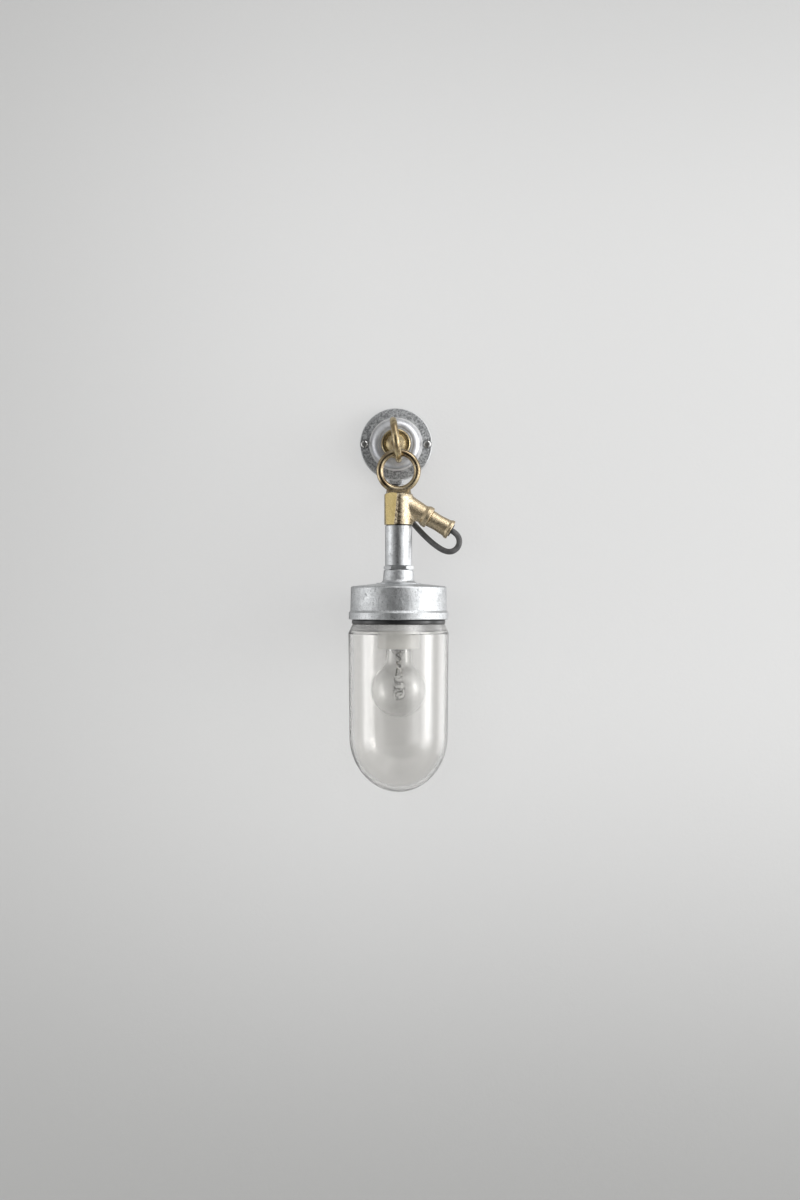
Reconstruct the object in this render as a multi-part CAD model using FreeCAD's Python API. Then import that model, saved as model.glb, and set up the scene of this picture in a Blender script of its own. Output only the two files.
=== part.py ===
import FreeCAD, Part
import math
import os

# Well glass wall light: a cast wall plate carries a brass hook eye, and the lamp hangs from it by a ring.
# A rubber flex leaves the plate, passes behind the lamp and enters the brass body through a gland.
# Millimetres. +Z is up, the wall is the plane y = 0 and the room lies towards -Y.
# The origin is the centre of the wall plate's back face.

# Fits
thread_clearance = 0.15
running_clearance = 0.3
link_clearance = 0.25
rubber_clearance = 0.05
overrun = 2.0
skin_tolerance = 0.001

# Roundings shared by the castings and the turned pieces
fine_rounding = 0.3
edge_rounding = 0.8
cast_rounding = 1.5

# Wall plate, with depths measured out from the wall
plate_radius = 37.0
plate_wall = 3.2
band_outer_depth = 9.8
band_inner_depth = 10.8
band_inner_radius = 27.2
bead_width = 1.2
bead_height = 0.7
moulding_depth = 18.4
moulding_inner_radius = 17.8
moulding_shoulder_radius = 23.6
moulding_rounding = 6.5
groove_width = 0.9
groove_sink = 1.1
collar_seat_depth = 18.0
seat_ring_rise = 0.5
cavity_radius = 28.0
cavity_shoulder_radius = 25.2
cavity_crown_radius = 19.0

# Cable entry at the foot of the wall plate
entry_reach = 40.7
entry_width = 16.0
entry_depth = 4.9
entry_rounding = 3.0
bush_wall = 0.8
bush_flange_overhang = 1.0
bush_flange_thickness = 1.2

# Screws that hold the plate to the wall
wall_screw_spacing = 64.6
wall_screw_shank_radius = 2.2
wall_screw_thread_radius = 1.95
wall_screw_thread_length = 22.0
wall_screw_point_length = 4.0
wall_screw_head_radius = 4.1
wall_screw_head_height = 2.5
wall_screw_hole_radius = 2.45
wall_screw_seat_depth = 9.5
wall_screw_seat_radius = 4.9
screw_slot_width = 1.1
screw_slot_depth = 1.3
bead_notch_width = 4.4
bead_notch_sink = 0.5

# Hook eye, screwed through the plate
collar_radius = 15.0
collar_thickness = 3.4
collar_rim_width = 3.4
collar_groove_depth = 0.9
neck_root_radius = 10.9
neck_waist_radius = 4.4
neck_waist_height = 7.0
neck_rounding = 6.0
shank_radius = 5.0
shank_end_depth = 3.4
eye_diameter = 46.5
eye_wire_diameter = 7.0
eye_lean = 8.0
lamp_stand_off = 57.0
eye_washer_radius = 9.5
eye_washer_thickness = 1.6
eye_nut_flats = 16.0
eye_nut_thickness = 6.0

# Terminal block and earth screw in the plate's cavity
terminal_ways = 3
terminal_pitch = 6.0
terminal_block_width = 19.0
terminal_block_height = 10.6
terminal_block_thickness = 7.4
terminal_block_back = 1.2
terminal_block_gap = 1.2
terminal_pad_width = 10.0
terminal_pad_height = 7.0
terminal_tube_radius = 1.9
terminal_bore_radius = 1.2
terminal_screw_radius = 1.1
terminal_screw_length = 2.4
terminal_screw_pitch = 5.0
earth_screw_radius = 2.0
earth_head_radius = 3.4
earth_head_height = 2.2
earth_washer_radius = 4.2
earth_washer_thickness = 0.8
earth_boss_radius = 4.4
plate_earth_reach = 17.4
plate_earth_angle = 135.0
plate_earth_depth = 9.0
plate_earth_screw_length = 4.0

# Suspension body: ring, body and side branch in one brass casting
lamp_ring_diameter = 44.5
lamp_ring_wire_diameter = 7.0
ring_cut_width = 0.35
ring_cut_angle = 16.0
ring_to_shoulder = 22.9
saddle_height = 4.2
saddle_half_width = 12.0
saddle_half_depth = 4.0
body_radius = 14.25
body_length = 31.0
body_top_wall = 4.4
chamber_radius = 9.4
ground_flat_depth = 2.0
ground_flat_angle = 33.0
ground_flat_lean = 2.0
branch_fillet = 3.0
branch_slope = 30.0
branch_root_drop = 6.4
branch_start = 6.5
branch_start_radius = 10.9
branch_neck = 28.0
branch_neck_radius = 9.3
branch_flange_start = 31.6
branch_length = 36.2
branch_flange_radius = 11.0
branch_flange_rounding = 1.6
branch_blend = 3.0
branch_bore_radius = 6.0
branch_thread_depth = 14.0

# Gland nut with its washer and rubber seal
gland_thread_radius = 6.85
gland_thread_length = 12.0
gland_length = 24.1
gland_start_radius = 8.6
gland_waist_radius = 8.1
gland_waist = 9.0
gland_flare = 19.2
gland_flare_radius = 8.8
gland_collar = 21.4
gland_collar_radius = 9.9
gland_bore_clearance = 0.5
gland_pocket_radius = 6.6
gland_pocket_depth = 10.8
gland_washer_thickness = 1.0
seal_projection = 1.1

# Flex and its stretches inside the object
flex_radius = 2.9
lead_bend_radius = 8.0
lead_offset = 4.0

# Pipe and locknut between the body and the cap
pipe_radius = 13.5
spigot_wall = 2.0
pipe_length = 40.7
pipe_top_spigot = 12.6
pipe_foot_spigot = 16.5
spigot_radius = 10.0
joint_groove_depth = 1.0
joint_groove_height = 1.0
locknut_flats = 26.0
locknut_thickness = 4.5

# Cap casting
neck_top_radius = 14.75
neck_foot_radius = 15.9
neck_height = 13.0
neck_blend = 4.0
disc_radius = 22.2
disc_thickness = 0.7
cap_fall = 2.75
cap_taper = 0.5
cap_corner_rounding = 2.2
cap_skirt_wall = 5.05
cap_skirt_height = 24.1
rim_chamfer = 2.2
rim_overhang = 1.55
rim_height = 6.7
cap_wall = 3.9
cap_thread_length = 24.0
cap_bore_margin = 4.0

# Gasket and well glass
gasket_width = 4.4
gasket_thickness = 4.8
gasket_rounding = 1.4
glass_wall = 4.0
glass_neck_radius = 42.3
glass_neck_length = 24.5
glass_thread_clearance = 0.9
glass_seat_width = 3.9
glass_shoulder_height = 8.3
glass_shoulder_width = 3.8
glass_bead_height = 1.2
glass_bead_rise = 0.35
glass_taper = 0.8
glass_straight = 102.5
glass_bowl_height = 56.7
glass_bowl_wall = 5.2

# Lampholder
holder_wall = 1.25
holder_length = 51.0
holder_stand_off = 7.5
holder_recess_radius = 13.5
holder_recess_depth = 9.0
holder_socket_depth = 29.6
holder_shell_wall = 0.55
holder_shell_inset = 1.7
holder_shell_length = 25.5
holder_fixing_gap = 3.5
holder_screw_radius = 1.3
holder_screw_head_radius = 2.25
holder_screw_head_height = 1.8
holder_screw_sink = 4.4
holder_screw_bite = 5.5
pillar_radius = 3.6
contact_radius = 5.0
contact_thickness = 0.8
contact_post_radius = 1.9
contact_rivet_radius = 2.5
contact_rivet_height = 0.9
holder_terminal_width = 5.0
holder_terminal_depth = 9.0
holder_terminal_height = 6.0
holder_terminal_spacing = 11.0
cap_earth_reach = 27.0
cap_earth_boss_height = 4.0

# Bulb
bulb_radius = 27.5
bulb_length = 95.5
bulb_cement_gap = 0.45
bulb_neck_spread = 1.4
bulb_neck_rounding = 11.0
bulb_slope = 48.0
bulb_glass_wall = 0.9
bulb_cap_radius = 13.15
bulb_cap_clearance = 0.4
bulb_cap_wall = 0.5
bulb_cap_length = 24.3
bulb_cap_top_inset = 2.95
bulb_cap_taper = 2.6
bulb_seat = 4.0
insulator_foot_radius = 5.6
insulator_height = 2.7
tip_radius = 4.7
tip_height = 1.5
stem_flange_gap = 0.1
stem_flange_thickness = 1.2
stem_radius = 4.0
stem_length = 16.0
capsule_radius = 6.2
capsule_wall = 0.9
capsule_length = 18.0
capsule_drop = 36.0
pinch_width = 9.0
pinch_thickness = 3.2
pinch_height = 6.5
support_wire_radius = 0.5
support_wire_spacing = 5.0
filament_radius = 0.7
filament_length = 7.0

# Route of the free flex, from the bush at the plate's foot to the seal in the gland, chosen by hand
flex_route = [
    (0.0, -4.9, -48.2),
    (0.8, -7.8, -54.6),
    (2.6, -13.4, -60.8),
    (6.2, -21.6, -68.0),
    (11.9, -31.0, -76.2),
    (19.4, -39.4, -85.0),
    (28.2, -46.2, -95.0),
    (38.2, -51.4, -104.4),
    (47.6, -54.9, -110.8),
    (54.9, -56.6, -112.4),
    (60.7, -57.0, -109.4),
    (63.7, -57.0, -103.9),
    (63.2, -57.0, -97.9),
]
flex_cut_runs = (4, 8)
flex_arc_share = 0.45
flex_last_run = 4.4

# Places that follow from the sizes above
full_turn = 360.0
right_angle = 90.0
hex_sides = 6
origin = FreeCAD.Vector(0, 0, 0)
x_axis = FreeCAD.Vector(1, 0, 0)
y_axis = FreeCAD.Vector(0, 1, 0)
z_axis = FreeCAD.Vector(0, 0, 1)

cavity_depth = collar_seat_depth - plate_wall
cavity_edge_depth = band_inner_depth - plate_wall
collar_front = collar_seat_depth + collar_thickness
eye_wire_radius = eye_wire_diameter / 2
eye_ring_radius = eye_diameter / 2 - eye_wire_radius
lean = math.radians(eye_lean)
lamp_x = eye_ring_radius * math.sin(lean)
lamp_y = -lamp_stand_off
eye_foot_z = -eye_ring_radius * math.cos(lean)

ring_wire_radius = lamp_ring_wire_diameter / 2
lamp_ring_radius = lamp_ring_diameter / 2 - ring_wire_radius
ring_top_z = eye_foot_z + eye_wire_radius + ring_wire_radius + link_clearance
ring_centre_z = ring_top_z - lamp_ring_radius
body_top = ring_centre_z - ring_to_shoulder
body_foot = body_top - body_length
branch_root_z = body_top - branch_root_drop
locknut_top = body_foot - pipe_length
cap_top = locknut_top - locknut_thickness
disc_top = cap_top - neck_height
cone_top = disc_top - disc_thickness
cap_corner = cone_top - cap_fall
skirt_foot = cap_corner - cap_skirt_height
rim_top = skirt_foot - rim_chamfer
rim_foot = rim_top - rim_height
cap_ceiling = cap_corner - cap_wall
cap_bore_radius = glass_neck_radius + glass_thread_clearance
cap_skirt_radius = cap_bore_radius + cap_skirt_wall
cap_corner_radius = cap_skirt_radius - cap_taper
rim_radius = cap_skirt_radius + rim_overhang
gasket_radius = glass_neck_radius + gasket_width
glass_seat_radius = glass_neck_radius + glass_seat_width
glass_top_radius = glass_seat_radius + glass_shoulder_width
glass_foot_radius = glass_top_radius - glass_taper
glass_seat = rim_foot - gasket_thickness
glass_neck_top = glass_seat + glass_neck_length
glass_shoulder = glass_seat - glass_shoulder_height
glass_bowl_top = glass_shoulder - glass_straight
holder_top = cap_ceiling - holder_stand_off
holder_foot = holder_top - holder_length
socket_top = holder_foot + holder_socket_depth
recess_floor = holder_top - holder_recess_depth
contact_face = socket_top - contact_thickness - cast_rounding
bulb_tip = contact_face - running_clearance
insulator_top = bulb_tip - tip_height
bulb_cap_top = insulator_top - insulator_height
bulb_cap_foot = bulb_cap_top - bulb_cap_length
bulb_neck_top = bulb_cap_foot + bulb_seat
bulb_centre = bulb_tip - bulb_length + bulb_radius
gland_end = branch_length + gland_length
seal_face = gland_end + seal_projection
capsule_top = bulb_neck_top - capsule_drop

bush_radius = flex_radius + bush_wall
bush_flange_radius = bush_radius + bush_flange_overhang
gland_bore_radius = flex_radius + gland_bore_clearance
pipe_bore_radius = spigot_radius - spigot_wall
holder_shell_radius = bulb_cap_radius + bulb_cap_clearance + holder_shell_wall
holder_fixing_radius = holder_shell_radius + holder_fixing_gap
holder_radius = holder_fixing_radius + holder_screw_head_radius + thread_clearance + holder_wall
bulb_neck_radius = bulb_cap_radius - bulb_cap_wall - bulb_cement_gap
bulb_neck_foot_radius = bulb_neck_radius + bulb_neck_spread
bulb_cap_top_radius = bulb_cap_radius - bulb_cap_top_inset
stem_flange_radius = bulb_neck_radius - bulb_glass_wall - stem_flange_gap

wall_place = FreeCAD.Placement(origin, FreeCAD.Rotation(x_axis, right_angle))
origin_place = FreeCAD.Placement()
entry_place = FreeCAD.Placement(FreeCAD.Vector(0, -entry_depth, 0), FreeCAD.Rotation())
lamp_place = FreeCAD.Placement(FreeCAD.Vector(lamp_x, lamp_y, 0), FreeCAD.Rotation())
branch_place = FreeCAD.Placement(
    FreeCAD.Vector(lamp_x, lamp_y, branch_root_z),
    FreeCAD.Rotation(y_axis, right_angle + branch_slope),
)


def rounded_wire(corners, closed):
    """Straight runs through (point, radius) corners, with a tangent arc where the radius isn't zero."""
    edges = []
    stretches = []
    last = len(corners) - 1
    for index, (point, radius) in enumerate(corners):
        if radius == 0 or (not closed and index in (0, last)):
            stretches.append((point, None, point))
            continue
        before = (corners[index - 1][0] - point).normalize()
        after = (corners[(index + 1) % len(corners)][0] - point).normalize()
        half_turn = (math.pi - before.getAngle(after)) / 2
        setback = radius * math.tan(half_turn)
        inset = radius / math.cos(half_turn) - radius
        middle = point + (before + after).normalize() * inset
        stretches.append((point + before * setback, middle, point + after * setback))
    for index, (start, middle, finish) in enumerate(stretches):
        if middle is not None:
            edges.append(Part.Arc(start, middle, finish).toShape())
        if index < last or closed:
            following = stretches[(index + 1) % len(stretches)][0]
            if not finish.isEqual(following, Part.Precision.confusion()):
                edges.append(Part.LineSegment(finish, following).toShape())
    return Part.Wire(edges)


def outward(solid):
    """The solid with its faces turned outwards."""
    if solid.Volume < 0:
        solid.reverse()
    return solid


def turned(outline, place):
    """A solid turned about the local Z axis from (radius, height, rounding) corners."""
    corners = [(FreeCAD.Vector(radius, 0, height), rounding) for radius, height, rounding in outline]
    solid = Part.Face(rounded_wire(corners, True)).revolve(origin, z_axis, full_turn)
    solid.Placement = place
    return outward(solid)


def rod(radius, low, high, place, across=0, along=0):
    """A plain round bar between two heights, moved off the local Z axis by across and along."""
    solid = Part.makeCylinder(radius, high - low, FreeCAD.Vector(across, along, low))
    solid.Placement = place
    return solid


def beside(place, across, along):
    """The same placement, moved across and along its local X and Y axes."""
    return place.multiply(FreeCAD.Placement(FreeCAD.Vector(across, along, 0), FreeCAD.Rotation()))


def block(low, high, place):
    """A box between two opposite corners."""
    size = high - low
    solid = Part.makeBox(size.x, size.y, size.z, low)
    solid.Placement = place
    return solid


def hexagon(flats, low, high, place):
    """A hexagonal prism with one pair of flats square to local Y."""
    corner_radius = flats / 2 / math.cos(math.pi / hex_sides)
    points = []
    for side in range(hex_sides + 1):
        angle = side * 2 * math.pi / hex_sides
        across = corner_radius * math.cos(angle)
        along = corner_radius * math.sin(angle)
        points.append(FreeCAD.Vector(across, along, low))
    solid = Part.Face(Part.makePolygon(points)).extrude(FreeCAD.Vector(0, 0, high - low))
    solid.Placement = place
    return solid


def hex_nut(flats, low, high, bore_radius, place):
    """A hexagon nut with its corners turned off at both faces."""
    corner_radius = flats / 2 / math.cos(math.pi / hex_sides)
    slope = (corner_radius - flats / 2) * math.tan(math.pi / hex_sides)
    lens = turned(
        [
            (bore_radius, low, 0),
            (flats / 2, low, 0),
            (corner_radius, low + slope, 0),
            (corner_radius, high - slope, 0),
            (flats / 2, high, 0),
            (bore_radius, high, 0),
        ],
        place,
    )
    return hexagon(flats, low, high, place).common(lens)


def tube_along(corners, radius):
    """A round tube along straight runs and arcs, with the length of its centreline."""
    path = rounded_wire(corners, False)
    start = corners[0][0]
    heading = corners[1][0] - start
    section = Part.Wire(Part.makeCircle(radius, start, heading))
    return outward(path.makePipeShell([section], True, False)), path.Length


def on_branch(distance):
    """A point on the branch's axis, at this distance from the lamp's axis."""
    return branch_place.multVec(FreeCAD.Vector(0, 0, distance))


def wall_screw_places():
    """Signed distances of the two wall screws from the plate's centre."""
    return (-wall_screw_spacing / 2, wall_screw_spacing / 2)


def wall_plate():
    """Galvanised casting: flat outer band, convex moulding, hollow back and a cable entry at its foot."""
    seat_ring_radius = collar_radius + running_clearance
    groove_radius = moulding_inner_radius - groove_width
    bead_radius = band_inner_radius - bead_width
    bead_top = band_inner_depth + bead_height
    casting = turned(
        [
            (0, 0, 0),
            (plate_radius, 0, 0),
            (plate_radius, band_outer_depth, edge_rounding),
            (band_inner_radius, band_inner_depth, 0),
            (band_inner_radius, bead_top, fine_rounding),
            (bead_radius, bead_top, 0),
            (moulding_shoulder_radius, moulding_depth, moulding_rounding),
            (moulding_inner_radius, moulding_depth, fine_rounding),
            (moulding_inner_radius, moulding_depth - groove_sink, 0),
            (groove_radius, moulding_depth - groove_sink, 0),
            (groove_radius, collar_seat_depth + seat_ring_rise, fine_rounding),
            (seat_ring_radius, collar_seat_depth + seat_ring_rise, 0),
            (seat_ring_radius, collar_seat_depth, 0),
            (0, collar_seat_depth, 0),
        ],
        wall_place,
    )
    casting = casting.fuse(entry_boss())
    cavity = turned(
        [
            (0, -overrun, 0),
            (cavity_radius, -overrun, 0),
            (cavity_radius, cavity_edge_depth, cast_rounding),
            (cavity_shoulder_radius, cavity_edge_depth, 0),
            (cavity_crown_radius, cavity_depth, cast_rounding),
            (0, cavity_depth, 0),
        ],
        wall_place,
    )
    casting = casting.cut(cavity).fuse([terminal_pad(), plate_earth_boss()])
    return casting.cut(plate_holes()).removeSplitter()


def entry_boss():
    """The lug at the plate's foot that the flex leaves through, square to the wall and rounded in front."""
    half_width = entry_width / 2
    corners = [
        (FreeCAD.Vector(-half_width, 0, -entry_reach), 0),
        (FreeCAD.Vector(half_width, 0, -entry_reach), 0),
        (FreeCAD.Vector(half_width, -band_outer_depth, -entry_reach), entry_rounding),
        (FreeCAD.Vector(-half_width, -band_outer_depth, -entry_reach), entry_rounding),
    ]
    face = Part.Face(rounded_wire(corners, True))
    return outward(face.extrude(FreeCAD.Vector(0, 0, entry_reach - cavity_radius)))


def terminal_block_top():
    """Height of the terminal block's upper edge, just clear of the nut's corners."""
    return -eye_nut_flats / 2 / math.cos(math.pi / hex_sides) - terminal_block_gap


def terminal_pad():
    """Cast pad that the terminal block seats on."""
    middle = terminal_block_top() - terminal_block_height / 2
    face = terminal_block_back + terminal_block_thickness
    embedded = cavity_depth + plate_wall / 2
    low = FreeCAD.Vector(-terminal_pad_width / 2, middle - terminal_pad_height / 2, face)
    high = FreeCAD.Vector(terminal_pad_width / 2, middle + terminal_pad_height / 2, embedded)
    return block(low, high, wall_place)


def plate_earth_place():
    """The earth screw's two coordinates on the plate."""
    angle = math.radians(plate_earth_angle)
    return plate_earth_reach * math.cos(angle), plate_earth_reach * math.sin(angle)


def plate_earth_boss():
    """Cast boss that the plate's earth screw turns into."""
    across, along = plate_earth_place()
    embedded = cavity_depth + plate_wall / 2
    return rod(earth_boss_radius, plate_earth_depth, embedded, wall_place, across, along)


def plate_holes():
    """Everything drilled in the plate: shank, wall screws with their seats, bush and earth screw."""
    shank_hole_radius = shank_radius + thread_clearance
    holes = [rod(shank_hole_radius, 0, collar_seat_depth + overrun, wall_place)]
    notch_floor = band_inner_depth - bead_notch_sink
    bead_radius = band_inner_radius - bead_width
    for place in wall_screw_places():
        holes.append(rod(wall_screw_hole_radius, -overrun, collar_seat_depth, wall_place, place))
        holes.append(rod(wall_screw_seat_radius, wall_screw_seat_depth, collar_seat_depth, wall_place, place))
        side = math.copysign(1, place)
        ends = sorted((side * bead_radius, side * (band_inner_radius + bead_width)))
        low = FreeCAD.Vector(ends[0], -bead_notch_width / 2, notch_floor)
        high = FreeCAD.Vector(ends[1], bead_notch_width / 2, band_inner_depth + overrun)
        holes.append(block(low, high, wall_place))
    bore_top = -cavity_crown_radius - overrun
    holes.append(rod(bush_radius + rubber_clearance, -entry_reach - overrun, bore_top, entry_place))
    across, along = plate_earth_place()
    hole_radius = earth_screw_radius + thread_clearance
    hole_end = plate_earth_depth + plate_earth_screw_length
    holes.append(rod(hole_radius, plate_earth_depth - overrun, hole_end, wall_place, across, along))
    return holes


def wall_screws():
    """Two slotted round-head wood screws."""
    screws = []
    for place in wall_screw_places():
        screw_place = beside(wall_place, place, 0)
        seat = wall_screw_seat_depth
        crown = seat + wall_screw_head_height
        screw = turned(
            [
                (0, -wall_screw_thread_length - wall_screw_point_length, 0),
                (wall_screw_thread_radius, -wall_screw_thread_length, 0),
                (wall_screw_thread_radius, 0, 0),
                (wall_screw_shank_radius, 0, 0),
                (wall_screw_shank_radius, seat, 0),
                (wall_screw_head_radius, seat, 0),
                (wall_screw_head_radius, crown, wall_screw_head_height - fine_rounding),
                (0, crown, 0),
            ],
            screw_place,
        )
        low = FreeCAD.Vector(-screw_slot_width / 2, -wall_screw_head_radius, crown - screw_slot_depth)
        high = FreeCAD.Vector(screw_slot_width / 2, wall_screw_head_radius, crown + overrun)
        screws.append(screw.cut(block(low, high, screw_place)))
    return Part.makeCompound(screws)


def hook_eye():
    """Brass eye: a collar with a rounded rim, a flared neck, a ring that leans a little and a shank."""
    ring_back = lamp_stand_off - eye_ring_radius
    stem = turned(
        [
            (0, shank_end_depth, 0),
            (shank_radius, shank_end_depth, edge_rounding),
            (shank_radius, collar_seat_depth, 0),
            (collar_radius, collar_seat_depth, 0),
            (collar_radius, collar_front, cast_rounding),
            (collar_radius - collar_rim_width, collar_front, edge_rounding),
            (neck_root_radius, collar_front - collar_groove_depth, fine_rounding),
            (neck_waist_radius, collar_front + neck_waist_height, neck_rounding),
            (eye_wire_radius, ring_back, 0),
            (0, ring_back, 0),
        ],
        wall_place,
    )
    facing = FreeCAD.Vector(math.cos(lean), math.sin(lean), 0)
    centre = FreeCAD.Vector(0, 0, lamp_stand_off)
    ring = Part.makeTorus(eye_ring_radius, eye_wire_radius, centre, facing)
    ring.Placement = wall_place
    return stem.fuse(ring).removeSplitter()


def eye_washer():
    """Plain washer under the nut, against the cavity's ceiling."""
    bore_radius = shank_radius + thread_clearance
    low = cavity_depth - eye_washer_thickness
    return turned(
        [
            (bore_radius, low, 0),
            (eye_washer_radius, low, 0),
            (eye_washer_radius, cavity_depth, 0),
            (bore_radius, cavity_depth, 0),
        ],
        wall_place,
    )


def eye_nut():
    """Hexagon nut on the eye's shank."""
    high = cavity_depth - eye_washer_thickness
    low = high - eye_nut_thickness
    return hex_nut(eye_nut_flats, low, high, shank_radius + thread_clearance, wall_place)


def terminal_places():
    """Distances of the terminal ways from the middle of the block."""
    middle = (terminal_ways - 1) / 2
    return [(way - middle) * terminal_pitch for way in range(terminal_ways)]


def terminal_block():
    """Nylon strip with a tube way for each conductor and two screw wells to each way."""
    top = terminal_block_top()
    foot = top - terminal_block_height
    front = terminal_block_back + terminal_block_thickness
    middle = terminal_block_back + terminal_block_thickness / 2
    low = FreeCAD.Vector(-terminal_block_width / 2, foot, terminal_block_back)
    high = FreeCAD.Vector(terminal_block_width / 2, top, front)
    body = block(low, high, wall_place)
    way_radius = terminal_tube_radius + rubber_clearance
    cuts = terminal_screw_holes()
    for place in terminal_places():
        cuts.append(rod(way_radius, foot - overrun, top + overrun, origin_place, place, -middle))
    return body.cut(cuts)


def terminal_screw_heights():
    """Heights of the two screws of each way."""
    middle = terminal_block_top() - terminal_block_height / 2
    return (middle - terminal_screw_pitch / 2, middle + terminal_screw_pitch / 2)


def terminal_screw_holes():
    """Holes from the back into the middle of each way, for its two screws."""
    radius = terminal_screw_radius + thread_clearance
    middle = terminal_block_back + terminal_block_thickness / 2
    holes = []
    for place in terminal_places():
        for height in terminal_screw_heights():
            holes.append(rod(radius, 0, middle, wall_place, place, height))
    return holes


def terminal_tubes():
    """Brass tubes that the conductors are clamped in."""
    top = terminal_block_top()
    foot = top - terminal_block_height
    middle = terminal_block_back + terminal_block_thickness / 2
    tubes = []
    for place in terminal_places():
        tube = rod(terminal_tube_radius, foot, top, origin_place, place, -middle)
        bore = rod(terminal_bore_radius, foot - overrun, top + overrun, origin_place, place, -middle)
        tubes.append(tube.cut([bore] + terminal_screw_holes()))
    return Part.makeCompound(tubes)


def terminal_screws():
    """Grub screws that clamp the conductors."""
    screws = []
    middle = terminal_block_back + terminal_block_thickness / 2
    tip = middle - terminal_bore_radius
    tail = tip - terminal_screw_length
    for place in terminal_places():
        for height in terminal_screw_heights():
            screws.append(rod(terminal_screw_radius, tail, tip, wall_place, place, height))
    return Part.makeCompound(screws)


def earth_screw(seat, length, place):
    """Pan-head brass screw with its washer, with the head below the seat on the local Z axis."""
    washer_face = seat - earth_washer_thickness
    head = washer_face - earth_head_height
    screw = turned(
        [
            (0, head, 0),
            (earth_head_radius, head, edge_rounding),
            (earth_head_radius, washer_face, 0),
            (earth_washer_radius, washer_face, 0),
            (earth_washer_radius, seat, 0),
            (earth_screw_radius, seat, 0),
            (earth_screw_radius, seat + length, 0),
            (0, seat + length, 0),
        ],
        place,
    )
    low = FreeCAD.Vector(-screw_slot_width / 2, -earth_head_radius, head - overrun)
    high = FreeCAD.Vector(screw_slot_width / 2, earth_head_radius, head + screw_slot_depth)
    return screw.cut(block(low, high, place))


def plate_earth_screw():
    """Earth screw in the plate's boss."""
    across, along = plate_earth_place()
    length = plate_earth_screw_length - running_clearance
    return earth_screw(plate_earth_depth, length, beside(wall_place, across, along))


def entry_bush():
    """Rubber bush that lines the cable entry and shows as a lip below it."""
    bore_radius = flex_radius + rubber_clearance
    lip = -entry_reach - bush_flange_thickness
    return turned(
        [
            (bore_radius, lip, 0),
            (bush_flange_radius, lip, bush_flange_thickness / 2),
            (bush_flange_radius, -entry_reach, 0),
            (bush_radius, -entry_reach, 0),
            (bush_radius, -cavity_radius, 0),
            (bore_radius, -cavity_radius, 0),
        ],
        entry_place,
    )


def plate_lead():
    """End of the flex inside the plate, from the bush's lip to the terminal block."""
    foot = -entry_reach - bush_flange_thickness
    top = terminal_block_top() - terminal_block_height
    return rod(flex_radius, foot, top, entry_place)


def flex_points():
    """The whole free route: the bush's lip, the hand-chosen points and the seal's face."""
    start = FreeCAD.Vector(0, -entry_depth, -entry_reach - bush_flange_thickness)
    points = [start] + [FreeCAD.Vector(*point) for point in flex_route]
    points.append(on_branch(seal_face + flex_last_run))
    points.append(on_branch(seal_face))
    return points


def flex_corners(points):
    """Each route point with the largest arc that its two runs allow, by the share of the shorter run."""
    corners = []
    for index, point in enumerate(points):
        if index in (0, len(points) - 1):
            corners.append((point, 0))
            continue
        before = points[index - 1] - point
        after = points[index + 1] - point
        half_turn = (math.pi - before.getAngle(after)) / 2
        run = min(before.Length, after.Length)
        corners.append((point, flex_arc_share * run / math.tan(half_turn)))
    return corners


def flex_stretches():
    """The free flex as three stretches that meet face to face, halfway along two of its straight runs."""
    points = flex_points()
    corners = flex_corners(points)
    print("flex radii", [round(radius, 1) for point, radius in corners[1:-1]])
    print("flex runs", [round((after - before).Length, 1) for before, after in zip(points, points[1:])])
    stretches = []
    head = []
    first = 0
    for run in flex_cut_runs:
        middle = (points[run] + points[run + 1]) / 2
        stretches.append(head + corners[first : run + 1] + [(middle, 0)])
        head = [(middle, 0)]
        first = run + 1
    stretches.append(head + corners[first:])
    return stretches


def flex_stretch(corners):
    """One stretch of the free flex, with its volume checked against its section times its length."""
    tube, length = tube_along(corners, flex_radius)
    section = math.pi * flex_radius**2
    print("flex length", round(length, 1), "volume share", round(tube.Volume / (section * length), 4))
    return tube


def lamp_lead():
    """The flex inside the lamp: through gland and branch, into the pipe and down to the lampholder."""
    turn_height = lead_offset * math.tan(math.radians(branch_slope))
    corner = FreeCAD.Vector(lamp_x - lead_offset, lamp_y, branch_root_z + turn_height)
    finish = FreeCAD.Vector(lamp_x - lead_offset, lamp_y, recess_floor + holder_terminal_height)
    route = [(on_branch(seal_face), 0), (corner, lead_bend_radius), (finish, 0)]
    tube, length = tube_along(route, flex_radius)
    return tube


def suspension_body():
    """Brass casting: the ring, the body under it and the branch that carries the gland."""
    ring_centre = FreeCAD.Vector(lamp_x, lamp_y, ring_centre_z)
    ring = Part.makeTorus(lamp_ring_radius, ring_wire_radius, ring_centre, y_axis)
    body = turned(
        [
            (0, body_foot, 0),
            (body_radius, body_foot, fine_rounding),
            (body_radius, body_top, cast_rounding),
            (0, body_top, 0),
        ],
        lamp_place,
    )
    branch = turned(
        [
            (0, branch_start, 0),
            (branch_start_radius, branch_start, cast_rounding),
            (branch_neck_radius, branch_neck, branch_blend),
            (branch_flange_radius, branch_flange_start, fine_rounding),
            (branch_flange_radius, branch_length, branch_flange_rounding),
            (0, branch_length, 0),
        ],
        branch_place,
    )
    casting = blended(body, branch).fuse([saddle(), ring])
    chamber = rod(chamber_radius, body_foot - overrun, body_top - body_top_wall, lamp_place)
    socket_top = body_foot + pipe_top_spigot
    pipe_socket = rod(spigot_radius + thread_clearance, body_foot - overrun, socket_top, lamp_place)
    branch_bore = rod(branch_bore_radius, branch_start, branch_length, branch_place)
    gland_bore = rod(
        gland_thread_radius + thread_clearance,
        branch_length - branch_thread_depth,
        branch_length + overrun,
        branch_place,
    )
    cuts = [chamber, pipe_socket, branch_bore, gland_bore, ring_cut(), ground_flat()]
    return casting.cut(cuts).removeSplitter()


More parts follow.
